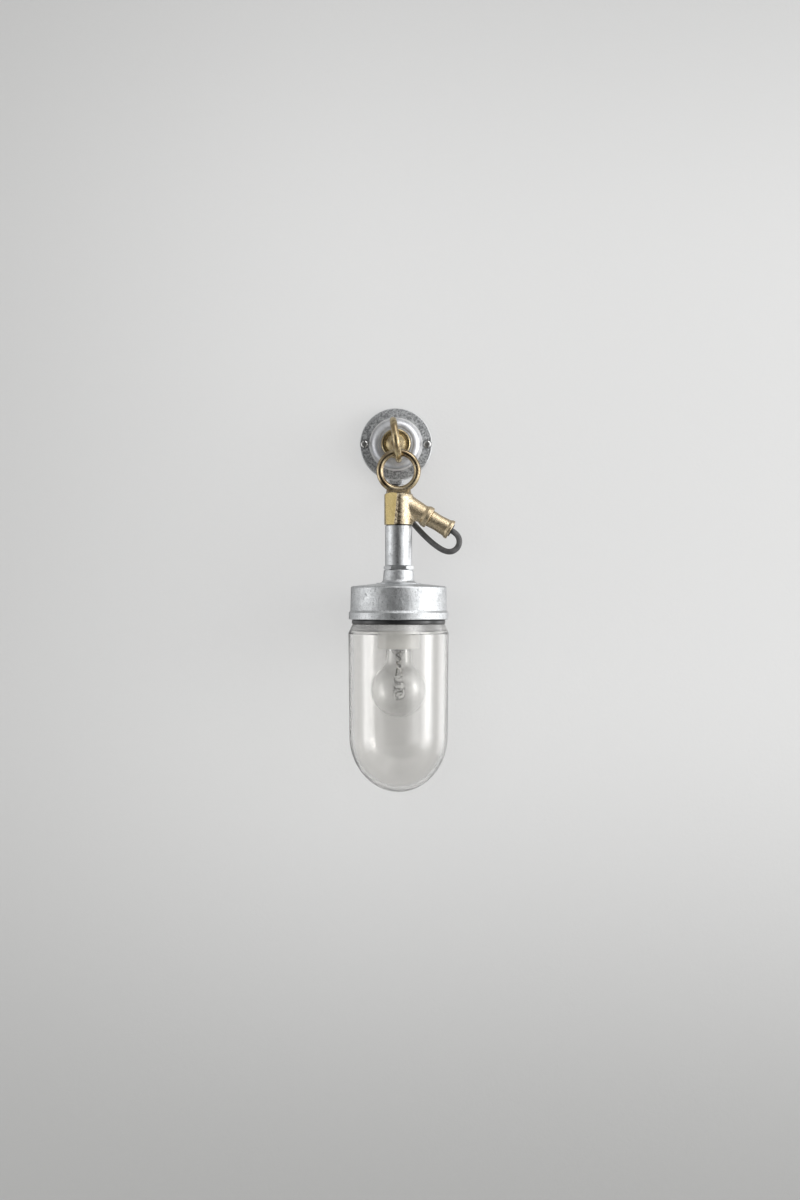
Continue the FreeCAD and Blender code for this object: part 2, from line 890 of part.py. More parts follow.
def ground_flat():
    """What the grinding wheel took off the body's left front, leaning in a little at the top."""
    turn = FreeCAD.Rotation(z_axis, -ground_flat_angle)
    tilt = FreeCAD.Rotation(x_axis, -ground_flat_lean)
    middle = FreeCAD.Vector(lamp_x, lamp_y, (body_top + body_foot) / 2)
    face = ground_flat_depth - body_radius
    low = FreeCAD.Vector(-body_radius, -body_radius - overrun, -body_length / 2 - overrun)
    high = FreeCAD.Vector(body_radius, face, body_length / 2 + overrun)
    return block(low, high, FreeCAD.Placement(middle, turn.multiply(tilt)))


def blended(body, branch):
    """The body and its branch in one, with the corner where they meet filled to a round."""
    joined = body.fuse(branch)
    corner = []
    for edge in joined.Edges:
        middle = Part.Vertex(edge.valueAt((edge.FirstParameter + edge.LastParameter) / 2))
        apart = max(solid.Shells[0].distToShape(middle)[0] for solid in (body, branch))
        if apart < skin_tolerance and edge.Length > branch_fillet:
            corner.append(edge)
    return joined.makeFillet(branch_fillet, corner)


def saddle():
    """The casting's shoulder, which gathers from the round body to the foot of the ring."""
    foot_radius = body_radius - cast_rounding
    foot = Part.Wire(Part.makeCircle(foot_radius, FreeCAD.Vector(0, 0, body_top), z_axis))
    top_centre = FreeCAD.Vector(0, 0, body_top + saddle_height)
    top = Part.Wire(Part.Ellipse(top_centre, saddle_half_width, saddle_half_depth).toShape())
    solid = Part.makeLoft([foot, top], True)
    solid.Placement = lamp_place
    return outward(solid)


def ring_cut():
    """The fine cut that lets the ring be opened over the eye and closed again."""
    centre = FreeCAD.Vector(lamp_x, lamp_y, ring_centre_z)
    low = FreeCAD.Vector(lamp_ring_radius - ring_wire_radius - overrun, -ring_wire_radius - overrun, 0)
    high = FreeCAD.Vector(
        lamp_ring_radius + ring_wire_radius + overrun, ring_wire_radius + overrun, ring_cut_width
    )
    return block(low, high, FreeCAD.Placement(centre, FreeCAD.Rotation(y_axis, -ring_cut_angle)))


def gland_nut():
    """Brass nut that screws into the branch, flared to a collar where the flex leaves."""
    start = branch_length
    pocket_floor = gland_end - gland_pocket_depth
    return turned(
        [
            (gland_bore_radius, start - gland_thread_length, 0),
            (gland_thread_radius, start - gland_thread_length, fine_rounding),
            (gland_thread_radius, start, 0),
            (gland_start_radius, start, edge_rounding),
            (gland_waist_radius, start + gland_waist, gland_length),
            (gland_flare_radius, start + gland_flare, cast_rounding),
            (gland_collar_radius, start + gland_collar, fine_rounding),
            (gland_collar_radius, gland_end, edge_rounding),
            (gland_pocket_radius, gland_end, 0),
            (gland_pocket_radius, pocket_floor, 0),
            (gland_bore_radius, pocket_floor, 0),
        ],
        branch_place,
    )


def gland_washer():
    """Brass washer between the nut's pocket and the seal."""
    low = gland_end - gland_pocket_depth
    high = low + gland_washer_thickness
    radius = gland_pocket_radius - thread_clearance
    return turned(
        [
            (gland_bore_radius, low, 0),
            (radius, low, 0),
            (radius, high, 0),
            (gland_bore_radius, high, 0),
        ],
        branch_place,
    )


def gland_seal():
    """Rubber seal squeezed round the flex, standing a little proud of the nut."""
    low = gland_end - gland_pocket_depth + gland_washer_thickness
    radius = gland_pocket_radius - rubber_clearance
    bore_radius = flex_radius + rubber_clearance
    return turned(
        [
            (bore_radius, low, 0),
            (radius, low, 0),
            (radius, seal_face, edge_rounding),
            (bore_radius, seal_face, 0),
        ],
        branch_place,
    )


def stem_pipe():
    """Galvanised pipe with a turned spigot at each end, and a fine groove under the body."""
    groove_radius = pipe_radius - joint_groove_depth
    groove_foot = body_foot - joint_groove_height
    top = body_foot + pipe_top_spigot
    foot = locknut_top - pipe_foot_spigot
    return turned(
        [
            (pipe_bore_radius, foot, 0),
            (spigot_radius, foot, fine_rounding),
            (spigot_radius, locknut_top, 0),
            (pipe_radius, locknut_top, fine_rounding),
            (pipe_radius, groove_foot, fine_rounding),
            (groove_radius, groove_foot, 0),
            (groove_radius, body_foot, 0),
            (spigot_radius, body_foot, 0),
            (spigot_radius, top, fine_rounding),
            (pipe_bore_radius, top, 0),
        ],
        lamp_place,
    )


def hex_locknut():
    """Thin hexagon nut that locks the pipe to the cap."""
    return hex_nut(locknut_flats, cap_top, locknut_top, spigot_radius + thread_clearance, lamp_place)


def cap_outline():
    """Section of the cap's wall, from the neck round the outside to the rim and back inside."""
    spigot_bore = spigot_radius + thread_clearance
    spigot_floor = locknut_top - pipe_foot_spigot - edge_rounding
    thread_top = rim_foot + cap_thread_length + cap_bore_margin / 2
    return [
        (spigot_bore, cap_top, 0),
        (neck_top_radius, cap_top, edge_rounding),
        (neck_foot_radius, disc_top, neck_blend),
        (disc_radius, disc_top, fine_rounding),
        (disc_radius, cone_top, 0),
        (cap_corner_radius, cap_corner, cap_corner_rounding),
        (cap_skirt_radius, skirt_foot, cast_rounding),
        (rim_radius, rim_top, edge_rounding),
        (rim_radius, rim_foot, edge_rounding),
        (cap_bore_radius, rim_foot, 0),
        (cap_bore_radius, thread_top, cast_rounding),
        (cap_bore_radius - cap_bore_margin, cap_ceiling, cast_rounding),
        (pipe_bore_radius, cap_ceiling, 0),
        (pipe_bore_radius, spigot_floor, 0),
        (spigot_bore, spigot_floor, 0),
    ]


def holder_fixings():
    """Distances of the two lampholder screws from the lamp's axis."""
    return (-holder_fixing_radius, holder_fixing_radius)


def cap():
    """Galvanised casting: neck, shallow top, skirt and rim, with lampholder pillars and an earth boss."""
    casting = turned(cap_outline(), lamp_place)
    embedded = cap_ceiling + cap_wall / 2
    bosses = [rod(pillar_radius, holder_top, embedded, lamp_place, place) for place in holder_fixings()]
    earth_face = cap_ceiling - cap_earth_boss_height
    bosses.append(rod(earth_boss_radius, earth_face, embedded, lamp_place, 0, cap_earth_reach))
    holes = []
    for place in holder_fixings():
        radius = holder_screw_radius + thread_clearance
        holes.append(rod(radius, holder_top - overrun, holder_top + holder_screw_bite, lamp_place, place))
    radius = earth_screw_radius + thread_clearance
    holes.append(rod(radius, earth_face - overrun, cap_ceiling, lamp_place, 0, cap_earth_reach))
    return casting.fuse(bosses).cut(holes).removeSplitter()


def cap_earth_screw():
    """Earth screw on the boss inside the cap."""
    length = cap_earth_boss_height - running_clearance
    place = beside(lamp_place, 0, cap_earth_reach)
    return earth_screw(cap_ceiling - cap_earth_boss_height, length, place)


def holder_body():
    """Porcelain lampholder: terminal recess above, lamp socket below, two fixing holes through it."""
    socket_radius = holder_shell_radius + rubber_clearance
    body = turned(
        [
            (contact_post_radius + thread_clearance, socket_top, 0),
            (socket_radius, socket_top, 0),
            (socket_radius, holder_foot, edge_rounding),
            (holder_radius, holder_foot, cast_rounding),
            (holder_radius, holder_top, cast_rounding),
            (holder_recess_radius, holder_top, fine_rounding),
            (holder_recess_radius, recess_floor, edge_rounding),
            (contact_post_radius + thread_clearance, recess_floor, 0),
        ],
        lamp_place,
    )
    holes = []
    for place in holder_fixings():
        hole_radius = holder_screw_radius + thread_clearance
        well_radius = holder_screw_head_radius + thread_clearance
        holes.append(rod(hole_radius, holder_foot - overrun, holder_top + overrun, lamp_place, place))
        holes.append(
            rod(well_radius, holder_foot - overrun, holder_foot + holder_screw_sink, lamp_place, place)
        )
    return body.cut(holes)


def holder_screws():
    """Two long screws that clamp the lampholder to the cap's pillars."""
    screws = []
    seat = holder_foot + holder_screw_sink
    for place in holder_fixings():
        tip = holder_top + holder_screw_bite - running_clearance
        shank = rod(holder_screw_radius, seat, tip, lamp_place, place)
        head = rod(holder_screw_head_radius, seat - holder_screw_head_height, seat, lamp_place, place)
        screws.append(shank.fuse(head))
    return Part.makeCompound(screws)


def holder_shell():
    """Thin brass lining of the lamp socket."""
    inner_radius = holder_shell_radius - holder_shell_wall
    low = holder_foot + holder_shell_inset
    high = low + holder_shell_length
    return turned(
        [
            (inner_radius, low, 0),
            (holder_shell_radius, low, 0),
            (holder_shell_radius, high, 0),
            (inner_radius, high, 0),
        ],
        lamp_place,
    )


def holder_contact():
    """Centre contact with its rivet through the porcelain."""
    return turned(
        [
            (0, contact_face, 0),
            (contact_radius, contact_face, fine_rounding),
            (contact_radius, contact_face + contact_thickness, 0),
            (contact_post_radius, socket_top, 0),
            (contact_post_radius, recess_floor, 0),
            (contact_rivet_radius, recess_floor, 0),
            (contact_rivet_radius, recess_floor + contact_rivet_height, fine_rounding),
            (0, recess_floor + contact_rivet_height, 0),
        ],
        lamp_place,
    )


def holder_terminals():
    """Two brass terminal blocks, with screws, on the floor of the lampholder's recess."""
    terminals = []
    half_width = holder_terminal_width / 2
    half_depth = holder_terminal_depth / 2
    top = recess_floor + holder_terminal_height
    for place in (-holder_terminal_spacing / 2, holder_terminal_spacing / 2):
        low = FreeCAD.Vector(place - half_width, -half_depth, recess_floor)
        high = FreeCAD.Vector(place + half_width, half_depth, top)
        body = block(low, high, lamp_place)
        bore = Part.makeCylinder(
            terminal_bore_radius,
            holder_terminal_depth + 2 * overrun,
            FreeCAD.Vector(place, -half_depth - overrun, recess_floor + holder_terminal_height / 2),
            y_axis,
        )
        bore.Placement = lamp_place
        terminals.append(body.cut(bore))
    return Part.makeCompound(terminals)


def gasket():
    """Rubber ring between the cap's rim and the glass's shoulder."""
    bore_radius = glass_neck_radius + running_clearance
    return turned(
        [
            (bore_radius, glass_seat, 0),
            (gasket_radius, glass_seat, gasket_rounding),
            (gasket_radius, rim_foot, gasket_rounding),
            (bore_radius, rim_foot, 0),
        ],
        lamp_place,
    )


def quarter_ellipse(radius, height):
    """The lower quarter of an upright ellipse about the lamp's axis, from its side to its lowest point."""
    centre = FreeCAD.Vector(0, 0, glass_bowl_top)
    side = FreeCAD.Vector(radius, 0, glass_bowl_top)
    foot = FreeCAD.Vector(0, 0, glass_bowl_top - height)
    ellipse = Part.Ellipse(foot, side, centre) if height > radius else Part.Ellipse(side, foot, centre)
    return Part.ArcOfEllipse(ellipse, 0, math.pi / 2).toBSpline().toShape()


def well_glass():
    """Clear glass: a neck for the cap's thread, a sloping shoulder, long sides and a deep round end."""
    neck_inner = glass_neck_radius - glass_wall
    foot_inner = glass_foot_radius - glass_wall
    bead_foot = glass_shoulder - glass_bead_height
    straight = [
        (foot_inner, glass_bowl_top, 0),
        (glass_top_radius - glass_wall, glass_shoulder, glass_wall),
        (neck_inner, glass_seat, glass_wall),
        (neck_inner, glass_neck_top, edge_rounding),
        (glass_neck_radius, glass_neck_top, edge_rounding),
        (glass_neck_radius, glass_seat, 0),
        (glass_seat_radius, glass_seat, edge_rounding),
        (glass_top_radius, glass_shoulder, 0),
        (glass_top_radius + glass_bead_rise, glass_shoulder - glass_bead_height / 2, 0),
        (glass_top_radius + fine_rounding / 2, bead_foot, 0),
        (glass_foot_radius, glass_bowl_top, 0),
    ]
    corners = [(FreeCAD.Vector(radius, 0, height), rounding) for radius, height, rounding in straight]
    wall = rounded_wire(corners, False)
    outer_foot = FreeCAD.Vector(0, 0, glass_bowl_top - glass_bowl_height)
    inner_foot = FreeCAD.Vector(0, 0, glass_bowl_top - glass_bowl_height + glass_bowl_wall)
    outer = quarter_ellipse(glass_foot_radius, glass_bowl_height)
    inner = quarter_ellipse(foot_inner, glass_bowl_height - glass_bowl_wall)
    end = Part.LineSegment(outer_foot, inner_foot).toShape()
    section = Part.Wire(Part.__sortEdges__(wall.Edges + [outer, end, inner]))
    solid = Part.Face(section).revolve(origin, z_axis, full_turn)
    solid.Placement = lamp_place
    return outward(solid)


def bulb_outline(inset):
    """Corners of the bulb's glass from its neck to its lowest point, drawn in by an inset."""
    slope = math.radians(bulb_slope)
    radius = bulb_radius - inset
    neck_foot = bulb_neck_foot_radius - inset
    tangent_radius = radius * math.cos(slope)
    tangent_height = bulb_centre + radius * math.sin(slope)
    neck_height_above = (tangent_radius - neck_foot) / math.tan(slope)
    return [
        (bulb_neck_radius - inset, bulb_neck_top, 0),
        (neck_foot, tangent_height + neck_height_above, bulb_neck_rounding + inset),
        (radius, bulb_centre + radius * math.tan(slope / 2), radius),
        (radius, bulb_centre - radius, radius),
        (0, bulb_centre - radius, 0),
    ]


def bulb_glass():
    """Clear bulb, open at the neck where the stem closes it."""
    outer = turned(bulb_outline(0) + [(0, bulb_neck_top, 0)], lamp_place)
    inner = turned(bulb_outline(bulb_glass_wall) + [(0, bulb_neck_top, 0)], lamp_place)
    return outer.cut(inner)


def bulb_cap():
    """Screw shell of the bulb, open below where it grips the glass."""
    inner_radius = bulb_cap_radius - bulb_cap_wall
    shoulder = bulb_cap_top - bulb_cap_taper
    return turned(
        [
            (inner_radius, bulb_cap_foot, 0),
            (bulb_cap_radius, bulb_cap_foot, 0),
            (bulb_cap_radius, shoulder, edge_rounding),
            (bulb_cap_top_radius, bulb_cap_top, 0),
            (bulb_cap_top_radius - edge_rounding, bulb_cap_top, 0),
            (inner_radius, shoulder - bulb_cap_wall, 0),
        ],
        lamp_place,
    )


def bulb_insulator():
    """Dark glass insulator at the top of the bulb's cap."""
    return turned(
        [
            (0, bulb_cap_top, 0),
            (bulb_cap_top_radius, bulb_cap_top, 0),
            (insulator_foot_radius, insulator_top, 0),
            (0, insulator_top, 0),
        ],
        lamp_place,
    )


def bulb_contact():
    """Centre contact of the bulb."""
    return turned(
        [
            (0, insulator_top, 0),
            (tip_radius, insulator_top, 0),
            (tip_radius, bulb_tip, edge_rounding),
            (0, bulb_tip, 0),
        ],
        lamp_place,
    )


def bulb_stem():
    """Glass stem that closes the bulb's neck and carries the wires."""
    foot = bulb_neck_top - stem_length
    return turned(
        [
            (0, bulb_neck_top, 0),
            (stem_flange_radius, bulb_neck_top, 0),
            (stem_flange_radius, bulb_neck_top - stem_flange_thickness, fine_rounding),
            (stem_radius, bulb_neck_top - stem_length / 2, cast_rounding),
            (stem_radius, foot, edge_rounding),
            (0, foot, 0),
        ],
        lamp_place,
    )


def support_wires():
    """Two wires that carry the capsule below the stem."""
    stem_foot = bulb_neck_top - stem_length
    wires = []
    for place in (-support_wire_spacing / 2, support_wire_spacing / 2):
        wires.append(rod(support_wire_radius, capsule_top + pinch_height, stem_foot, lamp_place, place))
    return Part.makeCompound(wires)


def halogen_capsule():
    """Small glass capsule with a flat pinch above it."""
    foot = capsule_top - capsule_length
    inner_radius = capsule_radius - capsule_wall
    outer = turned(
        [
            (0, foot, 0),
            (capsule_radius, foot, capsule_radius - fine_rounding),
            (capsule_radius, capsule_top, cast_rounding),
            (0, capsule_top, 0),
        ],
        lamp_place,
    )
    inner = turned(
        [
            (0, foot + capsule_wall, 0),
            (inner_radius, foot + capsule_wall, inner_radius - fine_rounding),
            (inner_radius, capsule_top - capsule_wall, edge_rounding),
            (0, capsule_top - capsule_wall, 0),
        ],
        lamp_place,
    )
    low = FreeCAD.Vector(-pinch_width / 2, -pinch_thickness / 2, capsule_top - capsule_wall / 2)
    high = FreeCAD.Vector(pinch_width / 2, pinch_thickness / 2, capsule_top + pinch_height)
    return outer.fuse(block(low, high, lamp_place)).cut(inner).removeSplitter()


def filament():
    """Upright filament, held in the roof of the capsule."""
    top = capsule_top - capsule_wall
    foot = top - filament_length
    return rod(filament_radius, foot, top, lamp_place)


upper_corners, middle_corners, lower_corners = flex_stretches()
pieces = {
    "wall_plate": wall_plate(),
    "wall_screws": wall_screws(),
    "hook_eye": hook_eye(),
    "eye_washer": eye_washer(),
    "eye_nut": eye_nut(),
    "terminal_block": terminal_block(),
    "terminal_tubes": terminal_tubes(),
    "terminal_screws": terminal_screws(),
    "plate_earth_screw": plate_earth_screw(),
    "entry_bush": entry_bush(),
    "plate_lead": plate_lead(),
    "flex_upper": flex_stretch(upper_corners),
    "flex_middle": flex_stretch(middle_corners),
    "flex_lower": flex_stretch(lower_corners),
    "suspension_body": suspension_body(),
    "gland_nut": gland_nut(),
    "gland_washer": gland_washer(),
    "gland_seal": gland_seal(),
    "lamp_lead": lamp_lead(),
    "stem_pipe": stem_pipe(),
    "hex_locknut": hex_locknut(),
    "cap": cap(),
    "cap_earth_screw": cap_earth_screw(),
    "holder_body": holder_body(),
    "holder_shell": holder_shell(),
    "holder_contact": holder_contact(),
    "holder_terminals": holder_terminals(),
    "holder_screws": holder_screws(),
    "gasket": gasket(),
    "well_glass": well_glass(),
    "bulb_glass": bulb_glass(),
    "bulb_cap": bulb_cap(),
    "bulb_insulator": bulb_insulator(),
    "bulb_contact": bulb_contact(),
    "bulb_stem": bulb_stem(),
    "support_wires": support_wires(),
    "halogen_capsule": halogen_capsule(),
    "filament": filament(),
}
os.makedirs("parts", exist_ok=True)
for name, shape in pieces.items():
    shape.exportStep(f"parts/{name}.step")
    print(name, len(shape.Solids), shape.isValid(), round(shape.Volume, 1))
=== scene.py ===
"""Looks, cord, light and camera of the well glass wall light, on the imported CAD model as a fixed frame."""
import math

import bmesh
import bpy
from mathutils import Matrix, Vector


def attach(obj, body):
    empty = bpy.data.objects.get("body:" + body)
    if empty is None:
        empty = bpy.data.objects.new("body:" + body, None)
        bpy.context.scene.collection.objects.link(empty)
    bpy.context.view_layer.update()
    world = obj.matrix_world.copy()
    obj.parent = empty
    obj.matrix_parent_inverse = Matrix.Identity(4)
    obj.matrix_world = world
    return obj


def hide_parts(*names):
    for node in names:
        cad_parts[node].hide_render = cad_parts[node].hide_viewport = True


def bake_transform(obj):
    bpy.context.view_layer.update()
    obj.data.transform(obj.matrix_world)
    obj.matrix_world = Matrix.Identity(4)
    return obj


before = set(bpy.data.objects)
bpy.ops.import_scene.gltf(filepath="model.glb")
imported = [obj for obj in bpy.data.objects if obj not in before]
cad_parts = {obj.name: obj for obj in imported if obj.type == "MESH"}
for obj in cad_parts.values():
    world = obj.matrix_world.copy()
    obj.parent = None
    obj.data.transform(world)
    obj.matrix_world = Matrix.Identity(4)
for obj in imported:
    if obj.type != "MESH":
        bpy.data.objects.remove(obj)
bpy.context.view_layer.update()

# Camera: its place in metres, its tilt in degrees, its lens and sensor in millimetres
camera_place = (0.00415, -1.724, -0.1602)
camera_tilt = 90.0
camera_lens = 50.0
sensor_long_side = 36.0

# The flex, in metres: control points and lengths of its three stretches, from the bush to the branch's
# gland
flex_diameter = 0.0058
flex_sides = 28
spline_order = 3
spline_steps = 12
upper_points = [
    (0.0, -0.0049, -0.0419),
    (0.0, -0.0049, -0.0482),
    (0.0008, -0.0078, -0.0546),
    (0.0026, -0.0134, -0.0608),
    (0.0062, -0.0216, -0.0680),
    (0.00905, -0.0263, -0.0721),
]
middle_points = [
    (0.00905, -0.0263, -0.0721),
    (0.0119, -0.0310, -0.0762),
    (0.0194, -0.0394, -0.0850),
    (0.0282, -0.0462, -0.0950),
    (0.0382, -0.0514, -0.1044),
    (0.0429, -0.05315, -0.1076),
]
lower_points = [
    (0.0429, -0.05315, -0.1076),
    (0.0476, -0.0549, -0.1108),
    (0.0549, -0.0566, -0.1124),
    (0.0607, -0.0570, -0.1094),
    (0.0637, -0.0570, -0.1039),
    (0.0632, -0.0570, -0.0979),
    (0.05973, -0.0570, -0.09326),
    (0.05592, -0.0570, -0.09106),
]
upper_length = 0.0401
middle_length = 0.0566
lower_length = 0.0418

# The lamp's upright axis, in metres
lamp_x = 0.002749
lamp_y = -0.057

# The bulb's hollow stem flare, in metres, and its closed outline as shares of its radius and depth
stem_radius = 0.0112
stem_top = -0.2066
stem_depth = 0.0159
stem_sides = 48
stem_shares = [
    (1.0, 0.0),
    (0.929, 0.101),
    (0.643, 0.289),
    (0.42, 0.497),
    (0.357, 0.748),
    (0.321, 0.962),
    (0.196, 1.0),
    (0.143, 0.937),
    (0.161, 0.748),
    (0.295, 0.528),
    (0.536, 0.314),
    (0.839, 0.126),
    (0.929, 0.0),
]

# The two wires twisted about the bulb's axis, in metres and turns. They twist over a share of their height
# and open out below it
wire_radius = 0.0007
wire_sides = 10
wire_steps = 90
wire_turns = 3.0
wire_twist_radius = 0.0020
wire_top = -0.2075
wire_foot = -0.2360
wire_foot_radius = 0.0027
twist_share = 0.8

# In all finishes below, a noise is its waves to the metre, detail, roughness and, at times, distortion.
# A reach is where a change begins and ends, in a noise's value or in metres, and shares are a value at both
# its ends. A relief is a bump's height in metres. A stain is its reach, its strongest share and its colour
middle_reach = (0.3, 0.7)

# Flex: dusty rubber
flex_cloud = (180.0, 4.0, 0.6)
flex_grain = (2400.0, 2.0, 0.5)
flex_dark = (0.070, 0.069, 0.070, 1.0)
flex_pale = (0.125, 0.124, 0.124, 1.0)
flex_rough_shares = (0.42, 0.56)
flex_relief = 0.00006

# Bulb wires, one painted lit and one painted in shade: own colour, colour of the spots of painted sparkle
# (painted shade on the lit wire, painted glints on the shaded one), and how metallic they are
wire_sparkle = (600.0, 2.0, 0.6)
wire_sparkle_reach = (0.54, 0.60)
wire_rough_shares = (0.12, 0.3)
wire_relief = 0.0006
# The wire painted lit, with spots of painted shade, and the wire painted in shade, with spots of painted
# glints
lit_wire = ((0.99, 0.98, 0.95, 1.0), (0.30, 0.27, 0.22, 1.0), 0.0)
shaded_wire = ((0.02, 0.018, 0.015, 1.0), (0.40, 0.36, 0.28, 1.0), 0.6)

# Small metal pieces: detail and roughness of their clouds and grain, and for each its pale and dark colour,
# its clouds and grains to the metre, its roughness and relief
metal_cloud = (5.0, 0.65)
metal_grain = (3.0, 0.6)
metal_cloud_reach = (0.32, 0.68)
metal_speck_reach = (0.55, 0.75)
metal_speck_share = 0.55
metal_duller = 0.06
metal_glossier = 0.04
metal_table = {
    "zinc_plate": ((0.66, 0.66, 0.65, 1.0), (0.42, 0.42, 0.41, 1.0), 260.0, 1500.0, 0.3, 0.00005),
    "terminal_brass": ((0.72, 0.58, 0.30, 1.0), (0.50, 0.38, 0.17, 1.0), 300.0, 1500.0, 0.25, 0.00004),
    "cap_alloy": ((0.74, 0.74, 0.75, 1.0), (0.55, 0.55, 0.56, 1.0), 300.0, 1500.0, 0.22, 0.00004),
    "tungsten_wire": ((0.36, 0.36, 0.37, 1.0), (0.2, 0.2, 0.21, 1.0), 900.0, 3000.0, 0.3, 0.00002),
}

# Glazed, moulded and painted surfaces: detail and roughness of their clouds, and for each its colour,
# roughness, share of gloss over it, clouds to the metre and relief
coat_cloud = (3.0, 0.5)
coat_shade_share = 0.86
coat_duller = 0.08
coat_roughness = 0.06
coat_table = {
    "black_rubber": ((0.014, 0.014, 0.015, 1.0), 0.3, 0.25, 500.0, 0.00004),
    "pale_nylon": ((0.78, 0.76, 0.70, 1.0), 0.45, 0.0, 600.0, 0.00004),
    "white_porcelain": ((0.95, 0.94, 0.91, 1.0), 0.3, 1.0, 90.0, 0.00005),
    "dark_vitrite": ((0.02, 0.02, 0.025, 1.0), 0.2, 0.6, 500.0, 0.00003),
    "lead_sheath": ((0.06, 0.06, 0.062, 1.0), 0.4, 0.0, 500.0, 0.00004),
}

# Galvanised iron, and for each finish its pale and dark colour, roughness and relief. The pipe's has a
# painted shadow ring at its top, under the brass body
zinc_cloud = (55.0, 5.0, 0.65)
zinc_grain = (1000.0, 3.0, 0.7)
zinc_speckle = (330.0, 5.0, 0.8)
zinc_pits = (260.0, 4.0, 0.7)
zinc_crystals = 330.0
zinc_streaks = (1.0, 3.0, 0.5)
zinc_streak_scales = (90.0, 90.0, 900.0)
zinc_speckle_reach = (0.35, 0.65)
zinc_cloud_share = 0.4
zinc_crystal_share = 0.2
zinc_speckle_share = 0.5
zinc_speckle_stain = ((0.54, 0.62), 0.7, (0.20, 0.205, 0.21, 1.0))
zinc_pit_stain = ((0.70, 0.74), 0.8, (0.10, 0.10, 0.10, 1.0))
zinc_streak_stain = ((0.66, 0.72), 0.4, (0.85, 0.86, 0.87, 1.0))
pipe_top_shadow = ((-0.0862, -0.0859), 1.0, (0.05, 0.05, 0.05, 1.0))
zinc_duller = 0.07
zinc_glossier = 0.03
zinc_cloud_relief_share = 2.0
zinc_table = {
    "galvanised_casting": ((0.72, 0.735, 0.745, 1.0), (0.34, 0.35, 0.36, 1.0), 0.33, 0.0003),
    "galvanised_steel": ((0.69, 0.705, 0.715, 1.0), (0.36, 0.37, 0.38, 1.0), 0.33, 0.0002, pipe_top_shadow),
}

# Wall plate, by distance from its middle: bright dome, a painted highlight on the bead, a grainy band
# darkened partly by painted shade, and a paler edge
plate_cloud = (80.0, 5.0, 0.65)
plate_grain = (900.0, 3.0, 0.65)
plate_pits = (500.0, 3.0, 0.6)
plate_flat_scales = (1.0, 0.0, 1.0)
dome_dark = (0.52, 0.525, 0.545, 1.0)
dome_pale = (0.71, 0.715, 0.735, 1.0)
band_pit_reach = (0.35, 0.65)
shaded_band_dark = (0.20, 0.205, 0.21, 1.0)
shaded_band_pale = (0.52, 0.53, 0.54, 1.0)
band_reach = (0.0272, 0.0278)
bead_inner_reach = (0.0256, 0.0260)
bead_outer_reach = (0.0276, 0.0272)
bead_highlight = (0.92, 0.92, 0.93, 1.0)
edge_inner_reach = (0.0358, 0.0366)
edge_outer_reach = (0.0374, 0.0371)
edge_shares = (0.0, 0.8)
edge_colour = (0.60, 0.61, 0.62, 1.0)
plate_rough_shares = (0.36, 0.52)
plate_grain_shares = (0.4, 1.0)
plate_relief = 0.0004

# Cast brass: grainy body and branch, the branch darkened with painted shade, browner ring
brass_grain = (1000.0, 3.0, 0.65)
brass_coarse = (420.0, 4.0, 0.6)
brass_cloud = (70.0, 4.0, 0.6)
cast_dark = (0.59, 0.49, 0.34, 1.0)
cast_pale = (0.73, 0.635, 0.465, 1.0)
cast_speck_stain = ((0.52, 0.66), 0.42, (0.20, 0.155, 0.10, 1.0))
# Painted shade over the branch, right of the body
branch_shade = ((0.012, 0.022), 0.5, (0.44, 0.34, 0.21, 1.0))
ring_reach = (-0.0500, -0.0450)
ring_cloud_reach = (0.35, 0.65)
ring_dark = (0.21, 0.155, 0.095, 1.0)
ring_pale = (0.46, 0.38, 0.245, 1.0)
brass_rough_shares = (0.22, 0.36)
ring_glossier = 0.12
ring_grain_shares = (1.0, 0.35)
brass_relief = 0.00035

# Strip ground smooth down the brass body's left front: a point on the body's axis, the way that the strip
# faces, how far out its flat lies, its slanting right edge, and the sliver left of it
strip_origin = (lamp_x, lamp_y, -0.06946)
strip_facing = (-0.5446, -0.8387, 0.0349)
strip_reach = (0.01215, 0.01222)
strip_edge = -0.0018
strip_foot = -0.085
strip_slant_share = 0.10
strip_edge_reach = (0.0003, -0.0003)
sliver_reach = (-0.0098, -0.0101)
strip_dark = (0.385, 0.30, 0.135, 1.0)
strip_pale = (0.44, 0.35, 0.165, 1.0)
strip_blot_stain = ((0.66, 0.72), 0.6, (0.22, 0.16, 0.07, 1.0))
strip_smooth_share = 0.85

# Patchy dark painted shade beside the strip and along the top of the brass body, under the ring
shade_edge_reach = (-0.0002, 0.0004)
shade_right_reach = (0.0075, 0.0035)
shade_front_reach = (-0.060, -0.066)
shade_top_reach = (-0.0585, -0.0555)
shade_top_shares = (0.0, 0.7)
shade_patch_reach = (0.36, 0.56)
shade_patch_shares = (0.35, 0.95)
patchy_shade_colour = (0.10, 0.075, 0.05, 1.0)

# Hook eye and its nut: smooth brass gone brown
eye_cloud = (110.0, 5.0, 0.6, 0.4)
eye_grain = (1300.0, 3.0, 0.6)
eye_cloud_reach = (0.36, 0.62)
eye_brown = (0.25, 0.19, 0.11, 1.0)
eye_bright = (0.58, 0.48, 0.29, 1.0)
eye_grain_stain = ((0.6, 0.75), 0.5, (0.12, 0.07, 0.03, 1.0))
eye_rough_shares = (0.32, 0.18)
eye_relief = 0.0001

